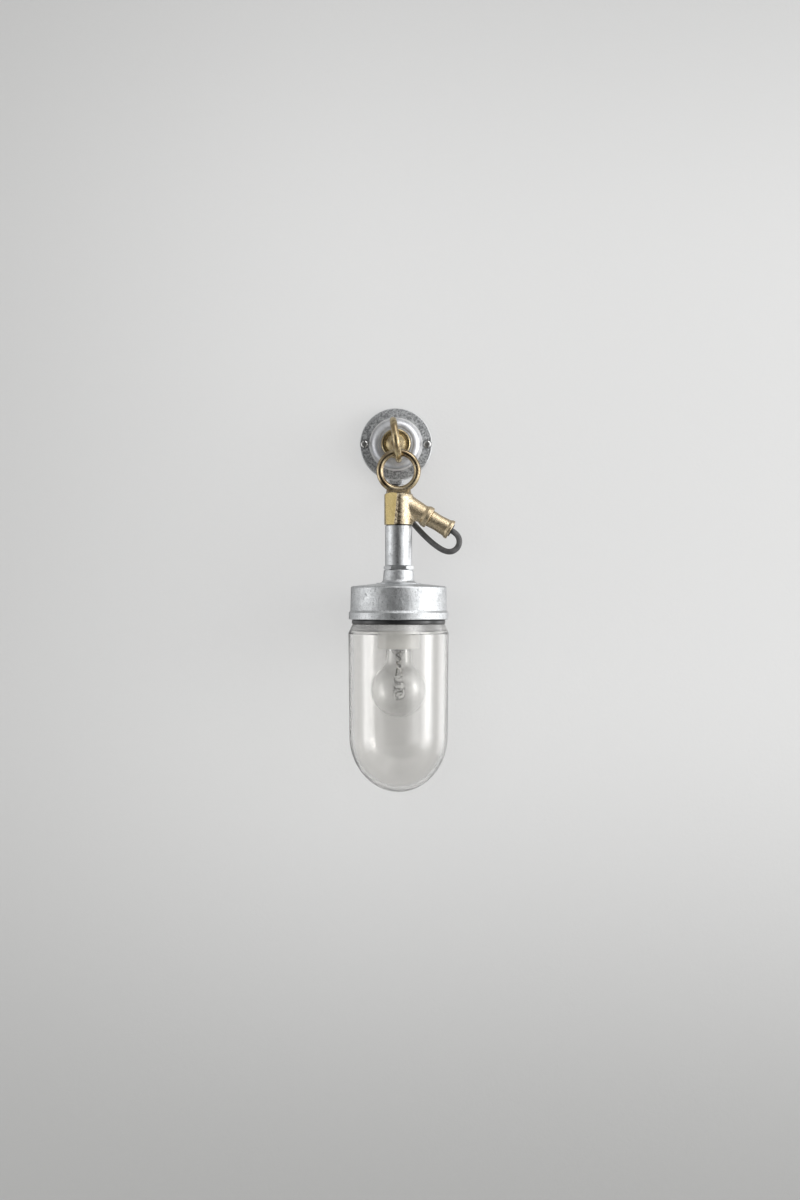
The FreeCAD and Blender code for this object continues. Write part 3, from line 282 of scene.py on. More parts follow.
# Clear glass: detail and roughness of its waves, and for each its tint, the relief of its waves and their
# number to the metre, and the colour that it gives to passing lamp light. Some have an index of refraction of
# their own, gloss and its roughness, and a ground shoulder: its reach, roughness and clearness
glass_wave = (2.0, 0.4)
glass_wave_reach = (0.3, 0.8)
glass_rough_shares = (0.0, 0.02)
glass_index = 1.5
glass_gloss_index = 1.9
glass_gloss_roughness = 0.2
well_glass = {
    # Grey tint: partly the glass's own haze and partly painted shade, for the lamp's shadow on the wall
    # behind it
    "tint": (0.865, 0.857, 0.843, 1.0),
    "relief": 0.0004,
    "waves": 35.0,
    "lamp_colour": (0.97, 0.97, 0.96, 1.0),
    "gloss": 0.6,
    "ground": ((-0.1915, -0.1895), (0.0, 0.2), (1.0, 0.75)),
}
bulb_glass = {
    "tint": (0.985, 0.985, 0.98, 1.0),
    "relief": 0.0002,
    "waves": 60.0,
    "lamp_colour": (0.99, 0.99, 0.99, 1.0),
    "gloss": 0.7,
    "gloss_roughness": 0.32,
}
stem_glass = {
    "tint": (1.0, 1.0, 1.0, 1.0),
    "relief": 0.0001,
    "waves": 200.0,
    "lamp_colour": (0.99, 0.99, 0.99, 1.0),
    "index": 1.06,
}

# The capsule's thick glass, full of flecks of painted glints and painted shade
capsule_ripple = (400.0, 2.0, 0.5)
capsule_glint_reach = (0.55, 0.59)
capsule_glint = (0.99, 0.99, 0.98, 1.0)
capsule_shade_fleck = (0.35, 0.35, 0.34, 1.0)
capsule_clear_reach = (0.46, 0.50)
capsule_clear_shares = (0.03, 0.95)
capsule_rough_shares = (0.0, 0.08)
capsule_index = 1.25
capsule_gloss_index = 2.4
capsule_gloss_roughness = 0.08
capsule_relief = 0.0004
capsule_gloss_relief = 0.003

# CAD nodes by the finish that they get
finish_nodes = {
    "plate_casting": ("wall_plate",),
    "galvanised_casting": ("cap",),
    "galvanised_steel": ("stem_pipe", "hex_locknut"),
    "zinc_plate": ("wall_screws", "eye_washer", "terminal_screws", "holder_screws", "gland_washer"),
    "eye_brass": ("hook_eye", "eye_nut"),
    "cast_brass": ("suspension_body", "gland_nut"),
    "terminal_brass": (
        "terminal_tubes",
        "plate_earth_screw",
        "cap_earth_screw",
        "holder_contact",
        "holder_terminals",
        "holder_shell",
    ),
    "cap_alloy": ("bulb_cap", "bulb_contact"),
    "tungsten_wire": ("filament",),
    "black_rubber": ("gasket", "gland_seal", "entry_bush"),
    "pale_nylon": ("terminal_block",),
    "white_porcelain": ("holder_body",),
    "dark_vitrite": ("bulb_insulator",),
    "lead_sheath": ("plate_lead", "lamp_lead"),
    "well_glass": ("well_glass",),
    "bulb_glass": ("bulb_glass",),
    "capsule_glass": ("halogen_capsule",),
}

# Wall and floor: their places in metres, and the painted shade that darkens the wall below, above and to the
# left. The floor's finish has its values in the coat table's order
wall_place = 0.0002
wall_half_width = 1.7
wall_top = 1.5
floor_level = -1.05
floor_front = -3.2
floor_back = 1.6
wall_low_reach = (-0.86, -0.22)
wall_high_reach = (0.75, 0.05)
wall_high_shares = (0.55, 1.0)
wall_left_reach = (-0.62, 0.0)
wall_left_shares = (0.42, 1.0)
wall_shaded = (0.45, 0.45, 0.445, 1.0)
wall_pale = (0.775, 0.775, 0.773, 1.0)
wall_grain = (260.0, 3.0, 0.6)
wall_roughness = 0.85
wall_relief = 0.0002
wall_glow_share = 0.5
floor_finish = ((0.74, 0.74, 0.73, 1.0), 0.7, 0.0, 3.0, 0.0)

# Panels of light with soft edges: azimuth from the camera's side in degrees, distance, height above the
# lamp's middle, width and height in metres, radiance, share of the width that fades, and which surfaces it
# reaches: shiny, matt or all. The three cards are nearly dark, for metal and glass to mirror
panel_table = {
    "right_window": (72.0, 1.9, 0.32, 0.9, 1.7, 7.8, 0.48, "all"),
    "right_panel": (66.0, 2.2, 0.2, 2.0, 3.2, 2.6, 0.35, "all"),
    "upper_right_panel": (48.0, 1.3, 1.7, 2.0, 1.8, 4.5, 0.4, "shiny"),
    "front_right_panel": (38.0, 2.2, 0.1, 1.2, 2.6, 1.9, 0.4, "shiny"),
    "far_right_panel": (117.0, 2.2, 0.1, 1.8, 3.0, 2.4, 0.4, "shiny"),
    "front_fill": (-30.0, 2.6, 0.4, 2.6, 2.4, 1.8, 0.45, "matt"),
    "left_panel": (-78.0, 2.0, 0.0, 1.5, 2.4, 2.7, 0.45, "all"),
    "far_left_panel": (-118.0, 2.2, 0.0, 1.4, 2.4, 0.9, 0.4, "shiny"),
    "back_left_card": (-158.0, 2.2, 0.0, 1.8, 2.4, 0.2, 0.4, "shiny"),
    "dark_card": (-7.0, 2.25, 0.0, 2.8, 2.6, 0.01, 0.26, "shiny"),
    "low_card": (5.0, 1.0, -0.8, 2.4, 1.3, 0.12, 0.35, "shiny"),
}

# Panels that are mirrored inside the glass too, and the height of the lamp's middle in metres
seen_in_glass = ("right_window", "left_panel")
aim_height = -0.2

# Even light from all around
world_colour = (0.58, 0.58, 0.575, 1.0)
world_strength = 1.0

# Numbers of a mix node's sockets for its share and two colours, and of the one for its result
mix_sockets = (0, 6, 7)
mix_result = 2

# Middle of a range from 0 to 1, and the number of mirrorings that parts none from one
half = 0.5


def plug(tree, socket, value):
    """Links a socket to another one, or sets it to a plain value."""
    if isinstance(value, bpy.types.NodeSocket):
        tree.links.new(value, socket)
    else:
        socket.default_value = value


def fill(tree, node, inputs):
    """Sets or links a node's inputs by their names."""
    for name, value in inputs.items():
        plug(tree, node.inputs[name], value)


def put(tree, kind, inputs=None, **settings):
    """A new shader node with its settings and inputs."""
    made = tree.nodes.new(kind)
    for name, value in settings.items():
        setattr(made, name, value)
    fill(tree, made, inputs or {})
    return made


def new_material(name):
    """A node material with its tree, its surface shader and a socket of the object's own coordinates."""
    material = bpy.data.materials.new(name)
    material.use_nodes = True
    tree = material.node_tree
    shader = tree.nodes["Principled BSDF"]
    place = put(tree, "ShaderNodeTexCoord").outputs["Object"]
    return material, tree, shader, place


def noise(tree, place, scale, detail, roughness, distortion=0.0):
    """Soft cloud or grain, from 0 to 1."""
    inputs = {
        "Vector": place,
        "Scale": scale,
        "Detail": detail,
        "Roughness": roughness,
        "Distortion": distortion,
    }
    return put(tree, "ShaderNodeTexNoise", inputs).outputs["Fac"]


def stretched(tree, place, scales):
    """The coordinates stretched along each axis."""
    return put(tree, "ShaderNodeMapping", {"Vector": place, "Scale": scales}).outputs["Vector"]


def axes(tree, vector):
    """The three parts of a vector, by the names X, Y and Z."""
    return put(tree, "ShaderNodeSeparateXYZ", {"Vector": vector}).outputs


def crystals(tree, place, scale):
    """A grey for each crystal of a spangled coat, from 0 to 1."""
    cells = put(tree, "ShaderNodeTexVoronoi", {"Vector": place, "Scale": scale})
    return put(tree, "ShaderNodeSeparateColor", {"Color": cells.outputs["Color"]}).outputs["Red"]


def between(tree, value, reach, shares=(0.0, 1.0)):
    """A value that goes smoothly from the first share to the second over its reach, held at both ends."""
    start, end = reach
    first, second = shares
    inputs = {"Value": value, "From Min": start, "From Max": end, "To Min": first, "To Max": second}
    return put(tree, "ShaderNodeMapRange", inputs, interpolation_type="SMOOTHSTEP").outputs["Result"]


def reckon(tree, operation, first, second):
    """One sum on two values."""
    made = put(tree, "ShaderNodeMath", operation=operation)
    for socket, value in zip(made.inputs, (first, second)):
        plug(tree, socket, value)
    return made.outputs["Value"]


def product(tree, first, *others):
    """The product of several values."""
    for other in others:
        first = reckon(tree, "MULTIPLY", first, other)
    return first


def colours(tree, share, first, second):
    """A mix of two colours by a share from 0 to 1."""
    made = put(tree, "ShaderNodeMix", data_type="RGBA")
    for number, value in zip(mix_sockets, (share, first, second)):
        plug(tree, made.inputs[number], value)
    return made.outputs[mix_result]


def stained(tree, colour, value, stain):
    """The colour, stained where a value crosses the stain's reach."""
    reach, strongest, other = stain
    return colours(tree, between(tree, value, reach, (0.0, strongest)), colour, other)


def raised(tree, height, relief, under=None):
    """A bump from a height between 0 and 1, over another bump if one is given."""
    inputs = {"Height": height, "Distance": relief}
    if under is not None:
        inputs["Normal"] = under
    return put(tree, "ShaderNodeBump", inputs).outputs["Normal"]


def mixed_shaders(tree, share, first, second):
    """A mix of two shaders by a share from 0 to 1."""
    made = put(tree, "ShaderNodeMixShader", {"Fac": share})
    for socket, shader in zip(made.inputs[1:], (first, second)):
        tree.links.new(shader, socket)
    return made.outputs["Shader"]


def cover(tree, shader):
    """Shows a shader on the material's surface."""
    tree.links.new(shader, tree.nodes["Material Output"].inputs["Surface"])


def metal(name, pale, dark, clouds, grains, roughness, relief):
    """Metal with clouded colour, dark specks and fine grain."""
    material, tree, shader, place = new_material(name)
    cloud = noise(tree, place, clouds, *metal_cloud)
    grain = noise(tree, place, grains, *metal_grain)
    colour = colours(tree, between(tree, cloud, metal_cloud_reach), dark, pale)
    colour = stained(tree, colour, grain, (metal_speck_reach, metal_speck_share, dark))
    rough = between(tree, cloud, middle_reach, (roughness + metal_duller, roughness - metal_glossier))
    bumps = raised(tree, grain, relief)
    bumps = raised(tree, cloud, relief, bumps)
    fill(tree, shader, {"Base Color": colour, "Metallic": 1.0, "Roughness": rough, "Normal": bumps})
    return material


def glossy_coat(name, colour, roughness, gloss, clouds, relief):
    """Glazed, moulded or painted surface with faint waviness and clouding."""
    material, tree, shader, place = new_material(name)
    cloud = noise(tree, place, clouds, *coat_cloud)
    red, green, blue, alpha = colour
    shade = (coat_shade_share * red, coat_shade_share * green, coat_shade_share * blue, alpha)
    inputs = {
        "Base Color": colours(tree, between(tree, cloud, middle_reach), shade, colour),
        "Roughness": between(tree, cloud, middle_reach, (roughness, roughness + coat_duller)),
        "Coat Weight": gloss,
        "Coat Roughness": coat_roughness,
        "Normal": raised(tree, cloud, relief),
    }
    fill(tree, shader, inputs)
    return material


def clear_glass(
    name,
    tint,
    relief,
    waves,
    lamp_colour,
    index=glass_index,
    gloss=0.0,
    gloss_roughness=glass_gloss_roughness,
    ground=None,
):
    """Clear glass with slow waves, which lets the lamps' light reach what is inside it."""
    material, tree, shader, place = new_material(name)
    wave = noise(tree, place, waves, *glass_wave)
    bumps = raised(tree, wave, relief)
    rough = between(tree, wave, glass_wave_reach, glass_rough_shares)
    clearness = 1.0
    if ground is not None:
        reach, rough_shares, clear_shares = ground
        height = axes(tree, place)["Z"]
        rough = reckon(tree, "MAXIMUM", rough, between(tree, height, reach, rough_shares))
        clearness = between(tree, height, reach, clear_shares)
    inputs = {
        "Base Color": tint,
        "Transmission Weight": clearness,
        "IOR": index,
        "Roughness": rough,
        "Normal": bumps,
        "Coat Weight": gloss,
        "Coat IOR": glass_gloss_index,
        "Coat Roughness": gloss_roughness,
    }
    fill(tree, shader, inputs)
    through = put(tree, "ShaderNodeBsdfTransparent", {"Color": lamp_colour}).outputs["BSDF"]
    to_lamp = put(tree, "ShaderNodeLightPath").outputs["Is Shadow Ray"]
    cover(tree, mixed_shaders(tree, to_lamp, shader.outputs["BSDF"], through))
    return material


def capsule_glass(name):
    """The capsule's thick glass: its ripples and pinches show as flecks of painted glints and painted shade.
    """
    material, tree, shader, place = new_material(name)
    ripple = noise(tree, place, *capsule_ripple)
    # Pale flecks, nearly opaque where the glass turns cloudy, are painted glints; dark flecks are painted
    # shade
    inputs = {
        "Base Color": colours(tree, between(tree, ripple, capsule_glint_reach), capsule_glint, capsule_shade_fleck),
        "Transmission Weight": between(tree, ripple, capsule_clear_reach, capsule_clear_shares),
        "IOR": capsule_index,
        "Roughness": between(tree, ripple, middle_reach, capsule_rough_shares),
        "Normal": raised(tree, ripple, capsule_relief),
        "Coat Weight": 1.0,
        "Coat IOR": capsule_gloss_index,
        "Coat Roughness": capsule_gloss_roughness,
        "Coat Normal": raised(tree, ripple, capsule_gloss_relief),
    }
    fill(tree, shader, inputs)
    return material


def flex_sheath(name):
    """Dark grey rubber sheath, dusty and faintly streaked."""
    material, tree, shader, place = new_material(name)
    cloud = noise(tree, place, *flex_cloud)
    grain = noise(tree, place, *flex_grain)
    inputs = {
        "Base Color": colours(tree, between(tree, cloud, middle_reach), flex_dark, flex_pale),
        "Roughness": between(tree, cloud, middle_reach, flex_rough_shares),
        "Normal": raised(tree, grain, flex_relief),
    }
    fill(tree, shader, inputs)
    return material


def lead_wire(name, wire_tone, painted_sparkle, metallic):
    """Drawn wire, spotted with painted sparkle in a second colour."""
    material, tree, shader, place = new_material(name)
    sparkle = noise(tree, place, *wire_sparkle)
    inputs = {
        "Base Color": colours(tree, between(tree, sparkle, wire_sparkle_reach), wire_tone, painted_sparkle),
        "Metallic": metallic,
        "Roughness": between(tree, sparkle, middle_reach, wire_rough_shares),
        "Normal": raised(tree, sparkle, wire_relief),
    }
    fill(tree, shader, inputs)
    return material


def galvanised(name, pale, dark, roughness, relief, *shadows_by_height):
    """Hot-dip galvanised coat: spangle, clouds, speckle, dark pits, pale streaks, and painted shadow bands by
    height.
    """
    material, tree, shader, place = new_material(name)
    cloud = noise(tree, place, *zinc_cloud)
    grain = noise(tree, place, *zinc_grain)
    speckle = noise(tree, place, *zinc_speckle)
    pits = noise(tree, place, *zinc_pits)
    spangle = crystals(tree, place, zinc_crystals)
    streak = noise(tree, stretched(tree, place, zinc_streak_scales), *zinc_streaks)
    share = product(tree, between(tree, cloud, middle_reach), zinc_cloud_share)
    share = reckon(tree, "ADD", share, product(tree, spangle, zinc_crystal_share))
    speckled = product(tree, between(tree, speckle, zinc_speckle_reach), zinc_speckle_share)
    share = reckon(tree, "ADD", share, speckled)
    colour = colours(tree, share, dark, pale)
    colour = stained(tree, colour, speckle, zinc_speckle_stain)
    colour = stained(tree, colour, pits, zinc_pit_stain)
    colour = stained(tree, colour, streak, zinc_streak_stain)
    # Painted shadow by height
    for stain in shadows_by_height:
        colour = stained(tree, colour, axes(tree, place)["Z"], stain)
    rough = between(tree, cloud, middle_reach, (roughness + zinc_duller, roughness - zinc_glossier))
    bumps = raised(tree, grain, relief)
    bumps = raised(tree, pits, relief, bumps)
    bumps = raised(tree, cloud, zinc_cloud_relief_share * relief, bumps)
    fill(tree, shader, {"Base Color": colour, "Metallic": 1.0, "Roughness": rough, "Normal": bumps})
    return material


def plate_casting(name):
    """The plate's galvanised casting: a darker, grainier outer band, darkened partly by painted shade, a
    painted highlight on the bead, and a paler edge.
    """
    material, tree, shader, place = new_material(name)
    flat = stretched(tree, place, plate_flat_scales)
    radius = put(tree, "ShaderNodeVectorMath", {"Vector": flat}, operation="LENGTH").outputs["Value"]
    cloud = noise(tree, place, *plate_cloud)
    grain = noise(tree, place, *plate_grain)
    pits = noise(tree, place, *plate_pits)
    dome = colours(tree, between(tree, cloud, middle_reach), dome_dark, dome_pale)
    band = colours(tree, between(tree, pits, band_pit_reach), shaded_band_dark, shaded_band_pale)
    on_band = between(tree, radius, band_reach)
    on_bead = product(tree, between(tree, radius, bead_inner_reach), between(tree, radius, bead_outer_reach))
    inner_edge = between(tree, radius, edge_inner_reach, edge_shares)
    on_edge = product(tree, inner_edge, between(tree, radius, edge_outer_reach))
    # The band's darker colour is partly its grain and partly painted shade
    colour = colours(tree, on_band, dome, band)
    # Painted highlight on the bead
    colour = colours(tree, on_bead, colour, bead_highlight)
    colour = colours(tree, on_edge, colour, edge_colour)
    rough = between(tree, pits, middle_reach, plate_rough_shares)
    depth = product(tree, grain, between(tree, on_band, (0.0, 1.0), plate_grain_shares))
    bumps = raised(tree, depth, plate_relief)
    fill(tree, shader, {"Base Color": colour, "Metallic": 1.0, "Roughness": rough, "Normal": bumps})
    return material


def ground_strip(tree, parts):
    """1 on the strip ground down the body's left front, and how far a point lies past its right edge."""
    outward = 0.0
    for axis, origin, facing in zip("XYZ", strip_origin, strip_facing):
        offset = reckon(tree, "SUBTRACT", parts[axis], origin)
        outward = reckon(tree, "ADD", outward, product(tree, offset, facing))
    rise = product(tree, reckon(tree, "SUBTRACT", parts["Z"], strip_foot), strip_slant_share)
    past_edge = reckon(tree, "SUBTRACT", reckon(tree, "SUBTRACT", parts["X"], strip_edge), rise)
    strip = product(tree, between(tree, outward, strip_reach), between(tree, past_edge, strip_edge_reach))
    strip = reckon(tree, "MAXIMUM", strip, between(tree, parts["X"], sliver_reach))
    return strip, past_edge


def patchy_shade(tree, parts, past_edge, coarse):
    """The share of patchy painted shade: beside the strip at the body's front, and along the body's top under
    the ring.
    """
    beside = between(tree, past_edge, shade_edge_reach)
    beside = product(tree, beside, between(tree, parts["X"], shade_right_reach))
    beside = product(tree, beside, between(tree, parts["Y"], shade_front_reach))
    above = between(tree, parts["Z"], shade_top_reach, shade_top_shares)
    patches = between(tree, coarse, shade_patch_reach, shade_patch_shares)
    return product(tree, reckon(tree, "MAXIMUM", beside, above), patches)


def cast_brass(name):
    """Sand-cast brass: grainy, specked with dark, browner on its ring, ground smooth down its left front,
    with painted shade beside the strip, along its top and over its branch.
    """
    material, tree, shader, place = new_material(name)
    parts = axes(tree, place)
    grain = noise(tree, place, *brass_grain)
    coarse = noise(tree, place, *brass_coarse)
    cloud = noise(tree, place, *brass_cloud)
    strip, past_edge = ground_strip(tree, parts)
    on_ring = between(tree, parts["Z"], ring_reach)
    cast = colours(tree, between(tree, cloud, middle_reach), cast_dark, cast_pale)
    cast = stained(tree, cast, coarse, cast_speck_stain)
    # Patchy painted shade beside the strip and along the body's top
    cast = colours(tree, patchy_shade(tree, parts, past_edge, coarse), cast, patchy_shade_colour)
    # Painted shade darkening the branch
    cast = stained(tree, cast, parts["X"], branch_shade)
    smooth = colours(tree, between(tree, cloud, middle_reach), strip_dark, strip_pale)
    smooth = stained(tree, smooth, coarse, strip_blot_stain)
    brown = colours(tree, between(tree, cloud, ring_cloud_reach), ring_dark, ring_pale)
    colour = colours(tree, on_ring, colours(tree, strip, cast, smooth), brown)
    rough = between(tree, coarse, middle_reach, brass_rough_shares)
    rough = reckon(tree, "SUBTRACT", rough, product(tree, on_ring, ring_glossier))
    coarser = reckon(tree, "SUBTRACT", 1.0, product(tree, strip, strip_smooth_share))
    depth = product(tree, grain, coarser, between(tree, on_ring, (0.0, 1.0), ring_grain_shares))
    bumps = raised(tree, depth, brass_relief)
    fill(tree, shader, {"Base Color": colour, "Metallic": 1.0, "Roughness": rough, "Normal": bumps})
    return material


def eye_brass(name):
    """Smooth brass gone brown in patches, brighter where it is handled."""
    material, tree, shader, place = new_material(name)
    cloud = noise(tree, place, *eye_cloud)
    grain = noise(tree, place, *eye_grain)
    colour = colours(tree, between(tree, cloud, eye_cloud_reach), eye_brown, eye_bright)
    inputs = {
        "Base Color": stained(tree, colour, grain, eye_grain_stain),
        "Metallic": 1.0,
        "Roughness": between(tree, cloud, middle_reach, eye_rough_shares),
        "Normal": raised(tree, grain, eye_relief),
    }
    fill(tree, shader, inputs)
    return material


def dress_cad():
    """Every CAD node that shows its own shape gets its material."""
    finishes = {
        "plate_casting": plate_casting("plate_casting"),
        "cast_brass": cast_brass("cast_brass"),
        "eye_brass": eye_brass("eye_brass"),
        "well_glass": clear_glass("well_glass", **well_glass),
        "bulb_glass": clear_glass("bulb_glass", **bulb_glass),
        "capsule_glass": capsule_glass("capsule_glass"),
    }
    for make, table in ((galvanised, zinc_table), (metal, metal_table), (glossy_coat, coat_table)):
        for name, values in table.items():
            finishes[name] = make(name, *values)
    for name, nodes in finish_nodes.items():
        for node in nodes:
            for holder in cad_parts[node].material_slots:
                holder.material = finishes[name]


def shown(name, mesh, material):
    """A new object that shows a mesh in its material."""
    mesh.materials.append(material)
    made = bpy.data.objects.new(name, mesh)
    bpy.context.scene.collection.objects.link(made)
    return made


def smooth_piece(name, shape, material):
    """A new object with smooth shading from a built shape."""
    for face in shape.faces:
        face.smooth = True
    mesh = bpy.data.meshes.new(name)
    shape.to_mesh(mesh)
    shape.free()
    return shown(name, mesh, material)


def circle(sides):
    """The cosine and sine of each of the equal steps round a circle."""
    angles = [math.tau * turn / sides for turn in range(sides)]
    return [(math.cos(angle), math.sin(angle)) for angle in angles]


def join_rings(shape, low, high):
    """A band of faces between two rings of vertices."""
    sides = len(low)
    for turn in range(sides):
        after = (turn + 1) % sides
        shape.faces.new((low[turn], low[after], high[after], high[turn]))


def tube(name, line, radius, sides, material):
    """A closed round tube along a line of points."""
    shape = bmesh.new()
    side = Vector((1, 0, 0))
    steps = circle(sides)
    rings = []
    for index, point in enumerate(line):
        before = line[max(index - 1, 0)]
        after = line[min(index + 1, len(line) - 1)]
        heading = (after - before).normalized()
        side = (side - heading * side.dot(heading)).normalized()
        other = heading.cross(side)
        places = [point + radius * (cosine * side + sine * other) for cosine, sine in steps]
        rings.append([shape.verts.new(place) for place in places])
    for low, high in zip(rings, rings[1:]):
        join_rings(shape, low, high)
    shape.faces.new(reversed(rings[0]))
    shape.faces.new(rings[-1])
    return smooth_piece(name, shape, material)


def lathe(name, outline, sides, material):
    """A closed shape turned about the lamp's axis from (radius, height) points."""
    shape = bmesh.new()
    steps = circle(sides)
    rings = []
    for radius, height in outline:
        places = [(lamp_x + radius * cosine, lamp_y + radius * sine, height) for cosine, sine in steps]
        rings.append([shape.verts.new(place) for place in places])
    for low, high in zip(rings, rings[1:] + rings[:1]):
        join_rings(shape, low, high)
    bmesh.ops.recalc_face_normals(shape, faces=shape.faces)
    return smooth_piece(name, shape, material)


def smooth_line(points):
    """The points along the smooth line that these control points draw."""
    curve = bpy.data.curves.new("route", "CURVE")
    curve.dimensions = "3D"
    curve.resolution_u = spline_steps
    spline = curve.splines.new("NURBS")
    spline.points.add(len(points) - len(spline.points))
    for control, point in zip(spline.points, points):
        control.co = (*point, 1)
    spline.order_u = spline_order
    spline.use_endpoint_u = True
    guide = bpy.data.objects.new("route", curve)
    bpy.context.scene.collection.objects.link(guide)
    bpy.context.view_layer.update()
    line = bpy.data.meshes.new_from_object(guide)
    found = [vertex.co.copy() for vertex in line.vertices]
    bpy.data.objects.remove(guide)
    bpy.data.meshes.remove(line)
    return found


def make_flex():
    """The three stretches of the flex, built as tubes in place of the CAD's."""
    material = flex_sheath("flex_sheath")
    stretches = (
        ("flex_from_wall", upper_points, upper_length, "flex_upper", "wall_side", "flex_top"),
        ("flex_between", middle_points, middle_length, "flex_middle", "flex_top", "flex_centre"),
        ("flex_to_gland", lower_points, lower_length, "flex_lower", "flex_centre", "lamp"),
    )
    for name, points, length, node, first_body, second_body in stretches:
        line = smooth_line(points)
        piece = tube(name, line, flex_diameter / 2, flex_sides, material)
        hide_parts(node)
        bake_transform(piece)


def make_stem():
    """The bulb's hollow stem flare."""
    outline = [(radius * stem_radius, stem_top - depth * stem_depth) for radius, depth in stem_shares]
    glass = clear_glass("stem_glass", **stem_glass)
    flare = lathe("stem_flare", outline, stem_sides, glass)
    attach(flare, "bulb")
    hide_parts("bulb_stem")


def wire_line(phase):
    """The points down one of the twisted wires, from its starting angle to its foot."""
    line = []
    for step in range(wire_steps + 1):
        share = step / wire_steps
        height = wire_top + share * (wire_foot - wire_top)
        angle = phase + wire_turns * math.tau * min(share / twist_share, 1.0)
        spread = wire_twist_radius
        if share > twist_share:
            opening = (share - twist_share) / (1 - twist_share)
            spread += opening * (wire_foot_radius - wire_twist_radius)
        line.append(Vector((lamp_x + spread * math.cos(angle), lamp_y + spread * math.sin(angle), height)))
    return line


def make_wires():
    """The two twisted wires that carry the capsule, one painted lit and one painted in shade, the lit one
    half a turn round from the shaded one.
    """
    # Lit and shaded copies of one wire: painted light and painted shade
    wires = (
        ("lead_wire_left", math.pi, lead_wire("shaded_wire", *shaded_wire)),
        ("lead_wire_right", 0.0, lead_wire("lit_wire", *lit_wire)),
    )
    for name, phase, material in wires:
        piece = tube(name, wire_line(phase), wire_radius, wire_sides, material)
        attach(piece, "bulb")
        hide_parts("support_wires")


def make_camera():
    """A level camera, square to the wall."""
    data = bpy.data.cameras.new("camera")
    data.lens = camera_lens
    data.sensor_width = sensor_long_side
    camera = bpy.data.objects.new("camera", data)
    camera.location = camera_place
    camera.rotation_euler = (math.radians(camera_tilt), 0, 0)
    bpy.context.scene.collection.objects.link(camera)
    bpy.context.scene.camera = camera


def rectangle(name, corners, material):
    """A flat four-cornered stage piece."""
    mesh = bpy.data.meshes.new(name)
    mesh.from_pydata(corners, [], [tuple(range(len(corners)))])
    made = shown(name, mesh, material)
    return made


def wall_paint(name):
    """Pale matt paint with painted shade, a little darker to the left, above and below, half of it glowing by
    itself, and seen from its front only.
    """
    material, tree, shader, place = new_material(name)
    parts = axes(tree, place)
    from_below = between(tree, parts["Z"], wall_low_reach)
    from_above = between(tree, between(tree, parts["Z"], wall_high_reach), (0.0, 1.0), wall_high_shares)
    from_left = between(tree, parts["X"], wall_left_reach, wall_left_shares)
    # Painted shade on the wall, darker below, above and to the left
    colour = colours(tree, product(tree, from_below, from_above, from_left), wall_shaded, wall_pale)
    bumps = raised(tree, noise(tree, place, *wall_grain), wall_relief)
    fill(tree, shader, {"Base Color": colour, "Roughness": wall_roughness, "Normal": bumps})
    glow = put(tree, "ShaderNodeEmission", {"Color": colour}).outputs["Emission"]
    painted = mixed_shaders(tree, wall_glow_share, shader.outputs["BSDF"], glow)
    behind = put(tree, "ShaderNodeNewGeometry").outputs["Backfacing"]
    clear = put(tree, "ShaderNodeBsdfTransparent").outputs["BSDF"]
    cover(tree, mixed_shaders(tree, behind, painted, clear))
    return material


def make_stage():
    """Pale wall, kept out of the lamp's light and mirrorings, and pale floor."""
    left, right = -wall_half_width, wall_half_width
    wall_corners = [
        (left, wall_place, floor_level),
        (right, wall_place, floor_level),
        (right, wall_place, wall_top),
        (left, wall_place, wall_top),
    ]
    wall = rectangle("wall", wall_corners, wall_paint("wall_paint"))
    wall.visible_diffuse = False
    wall.visible_glossy = False
    wall.visible_shadow = False
    floor_corners = [
        (left, floor_front, floor_level),
        (right, floor_front, floor_level),
        (right, floor_back, floor_level),
        (left, floor_back, floor_level),
    ]
    rectangle("floor", floor_corners, glossy_coat("floor_paint", *floor_finish))


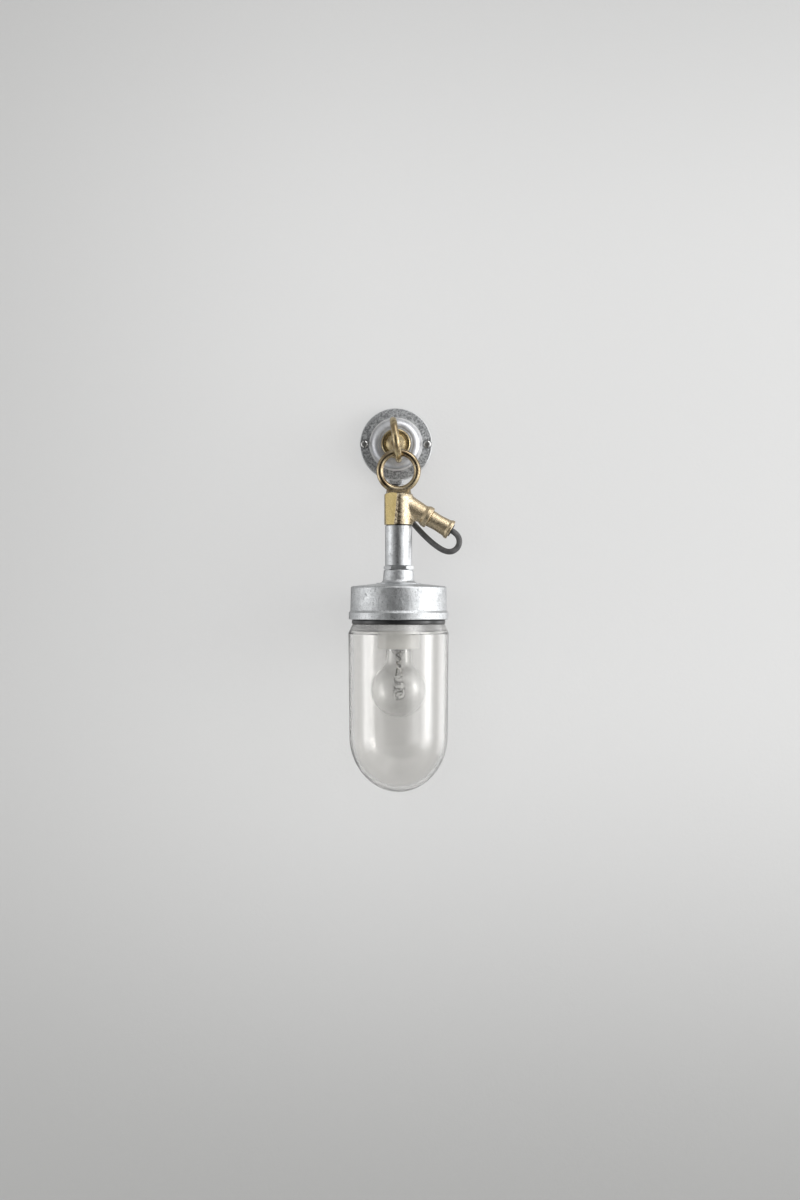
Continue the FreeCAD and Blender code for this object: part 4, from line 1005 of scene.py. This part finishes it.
def edge_fade(tree, value, fade):
    """1 in the middle of a range from 0 to 1, and 0 at both its ends."""
    offset = reckon(tree, "ABSOLUTE", reckon(tree, "SUBTRACT", value, half), 0.0)
    return between(tree, offset, (half - fade, half), (1.0, 0.0))


def panel_material(name, radiance, fade):
    """Even light that fades to nothing at the panel's edges, and is never seen straight through glass."""
    material, tree, shader, place = new_material(name)
    tree.nodes.remove(shader)
    parts = axes(tree, place.node.outputs["Generated"])
    share = product(tree, edge_fade(tree, parts["X"], fade), edge_fade(tree, parts["Y"], fade))
    path = put(tree, "ShaderNodeLightPath").outputs
    unmirrored = reckon(tree, "LESS_THAN", path["Glossy Depth"], half)
    straight_through = product(tree, path["Is Transmission Ray"], unmirrored)
    share = product(tree, share, reckon(tree, "SUBTRACT", 1.0, straight_through))
    glow = put(tree, "ShaderNodeEmission", {"Strength": radiance}).outputs["Emission"]
    clear = put(tree, "ShaderNodeBsdfTransparent").outputs["BSDF"]
    cover(tree, mixed_shaders(tree, share, clear, glow))
    return material


def make_panel(name, azimuth, distance, height, width, tall, radiance, fade, reach):
    """One panel of light at its azimuth, which faces the lamp's middle."""
    corners = [
        (-width / 2, -tall / 2, 0),
        (width / 2, -tall / 2, 0),
        (width / 2, tall / 2, 0),
        (-width / 2, tall / 2, 0),
    ]
    panel = rectangle(name, corners, panel_material(name, radiance, fade))
    turn = math.radians(azimuth)
    panel.location = (distance * math.sin(turn), -distance * math.cos(turn), aim_height + height)
    heading = Vector((0, 0, aim_height)) - panel.location
    panel.rotation_euler = heading.to_track_quat("-Z", "Y").to_euler()
    panel.visible_camera = False
    panel.visible_transmission = name in seen_in_glass
    panel.visible_diffuse = reach != "shiny"
    panel.visible_glossy = reach != "matt"
    panel.visible_shadow = False


def make_lights():
    """Soft panels at both sides, dark cards, and an even pale world."""
    for name, values in panel_table.items():
        make_panel(name, *values)
    world = bpy.data.worlds.new("studio")
    world.use_nodes = True
    inputs = {"Color": world_colour, "Strength": world_strength}
    fill(world.node_tree, world.node_tree.nodes["Background"], inputs)
    bpy.context.scene.world = world


make_camera()
make_flex()
make_stem()
make_wires()
dress_cad()
make_stage()
make_lights()
bpy.context.scene.view_settings.view_transform = "Standard"
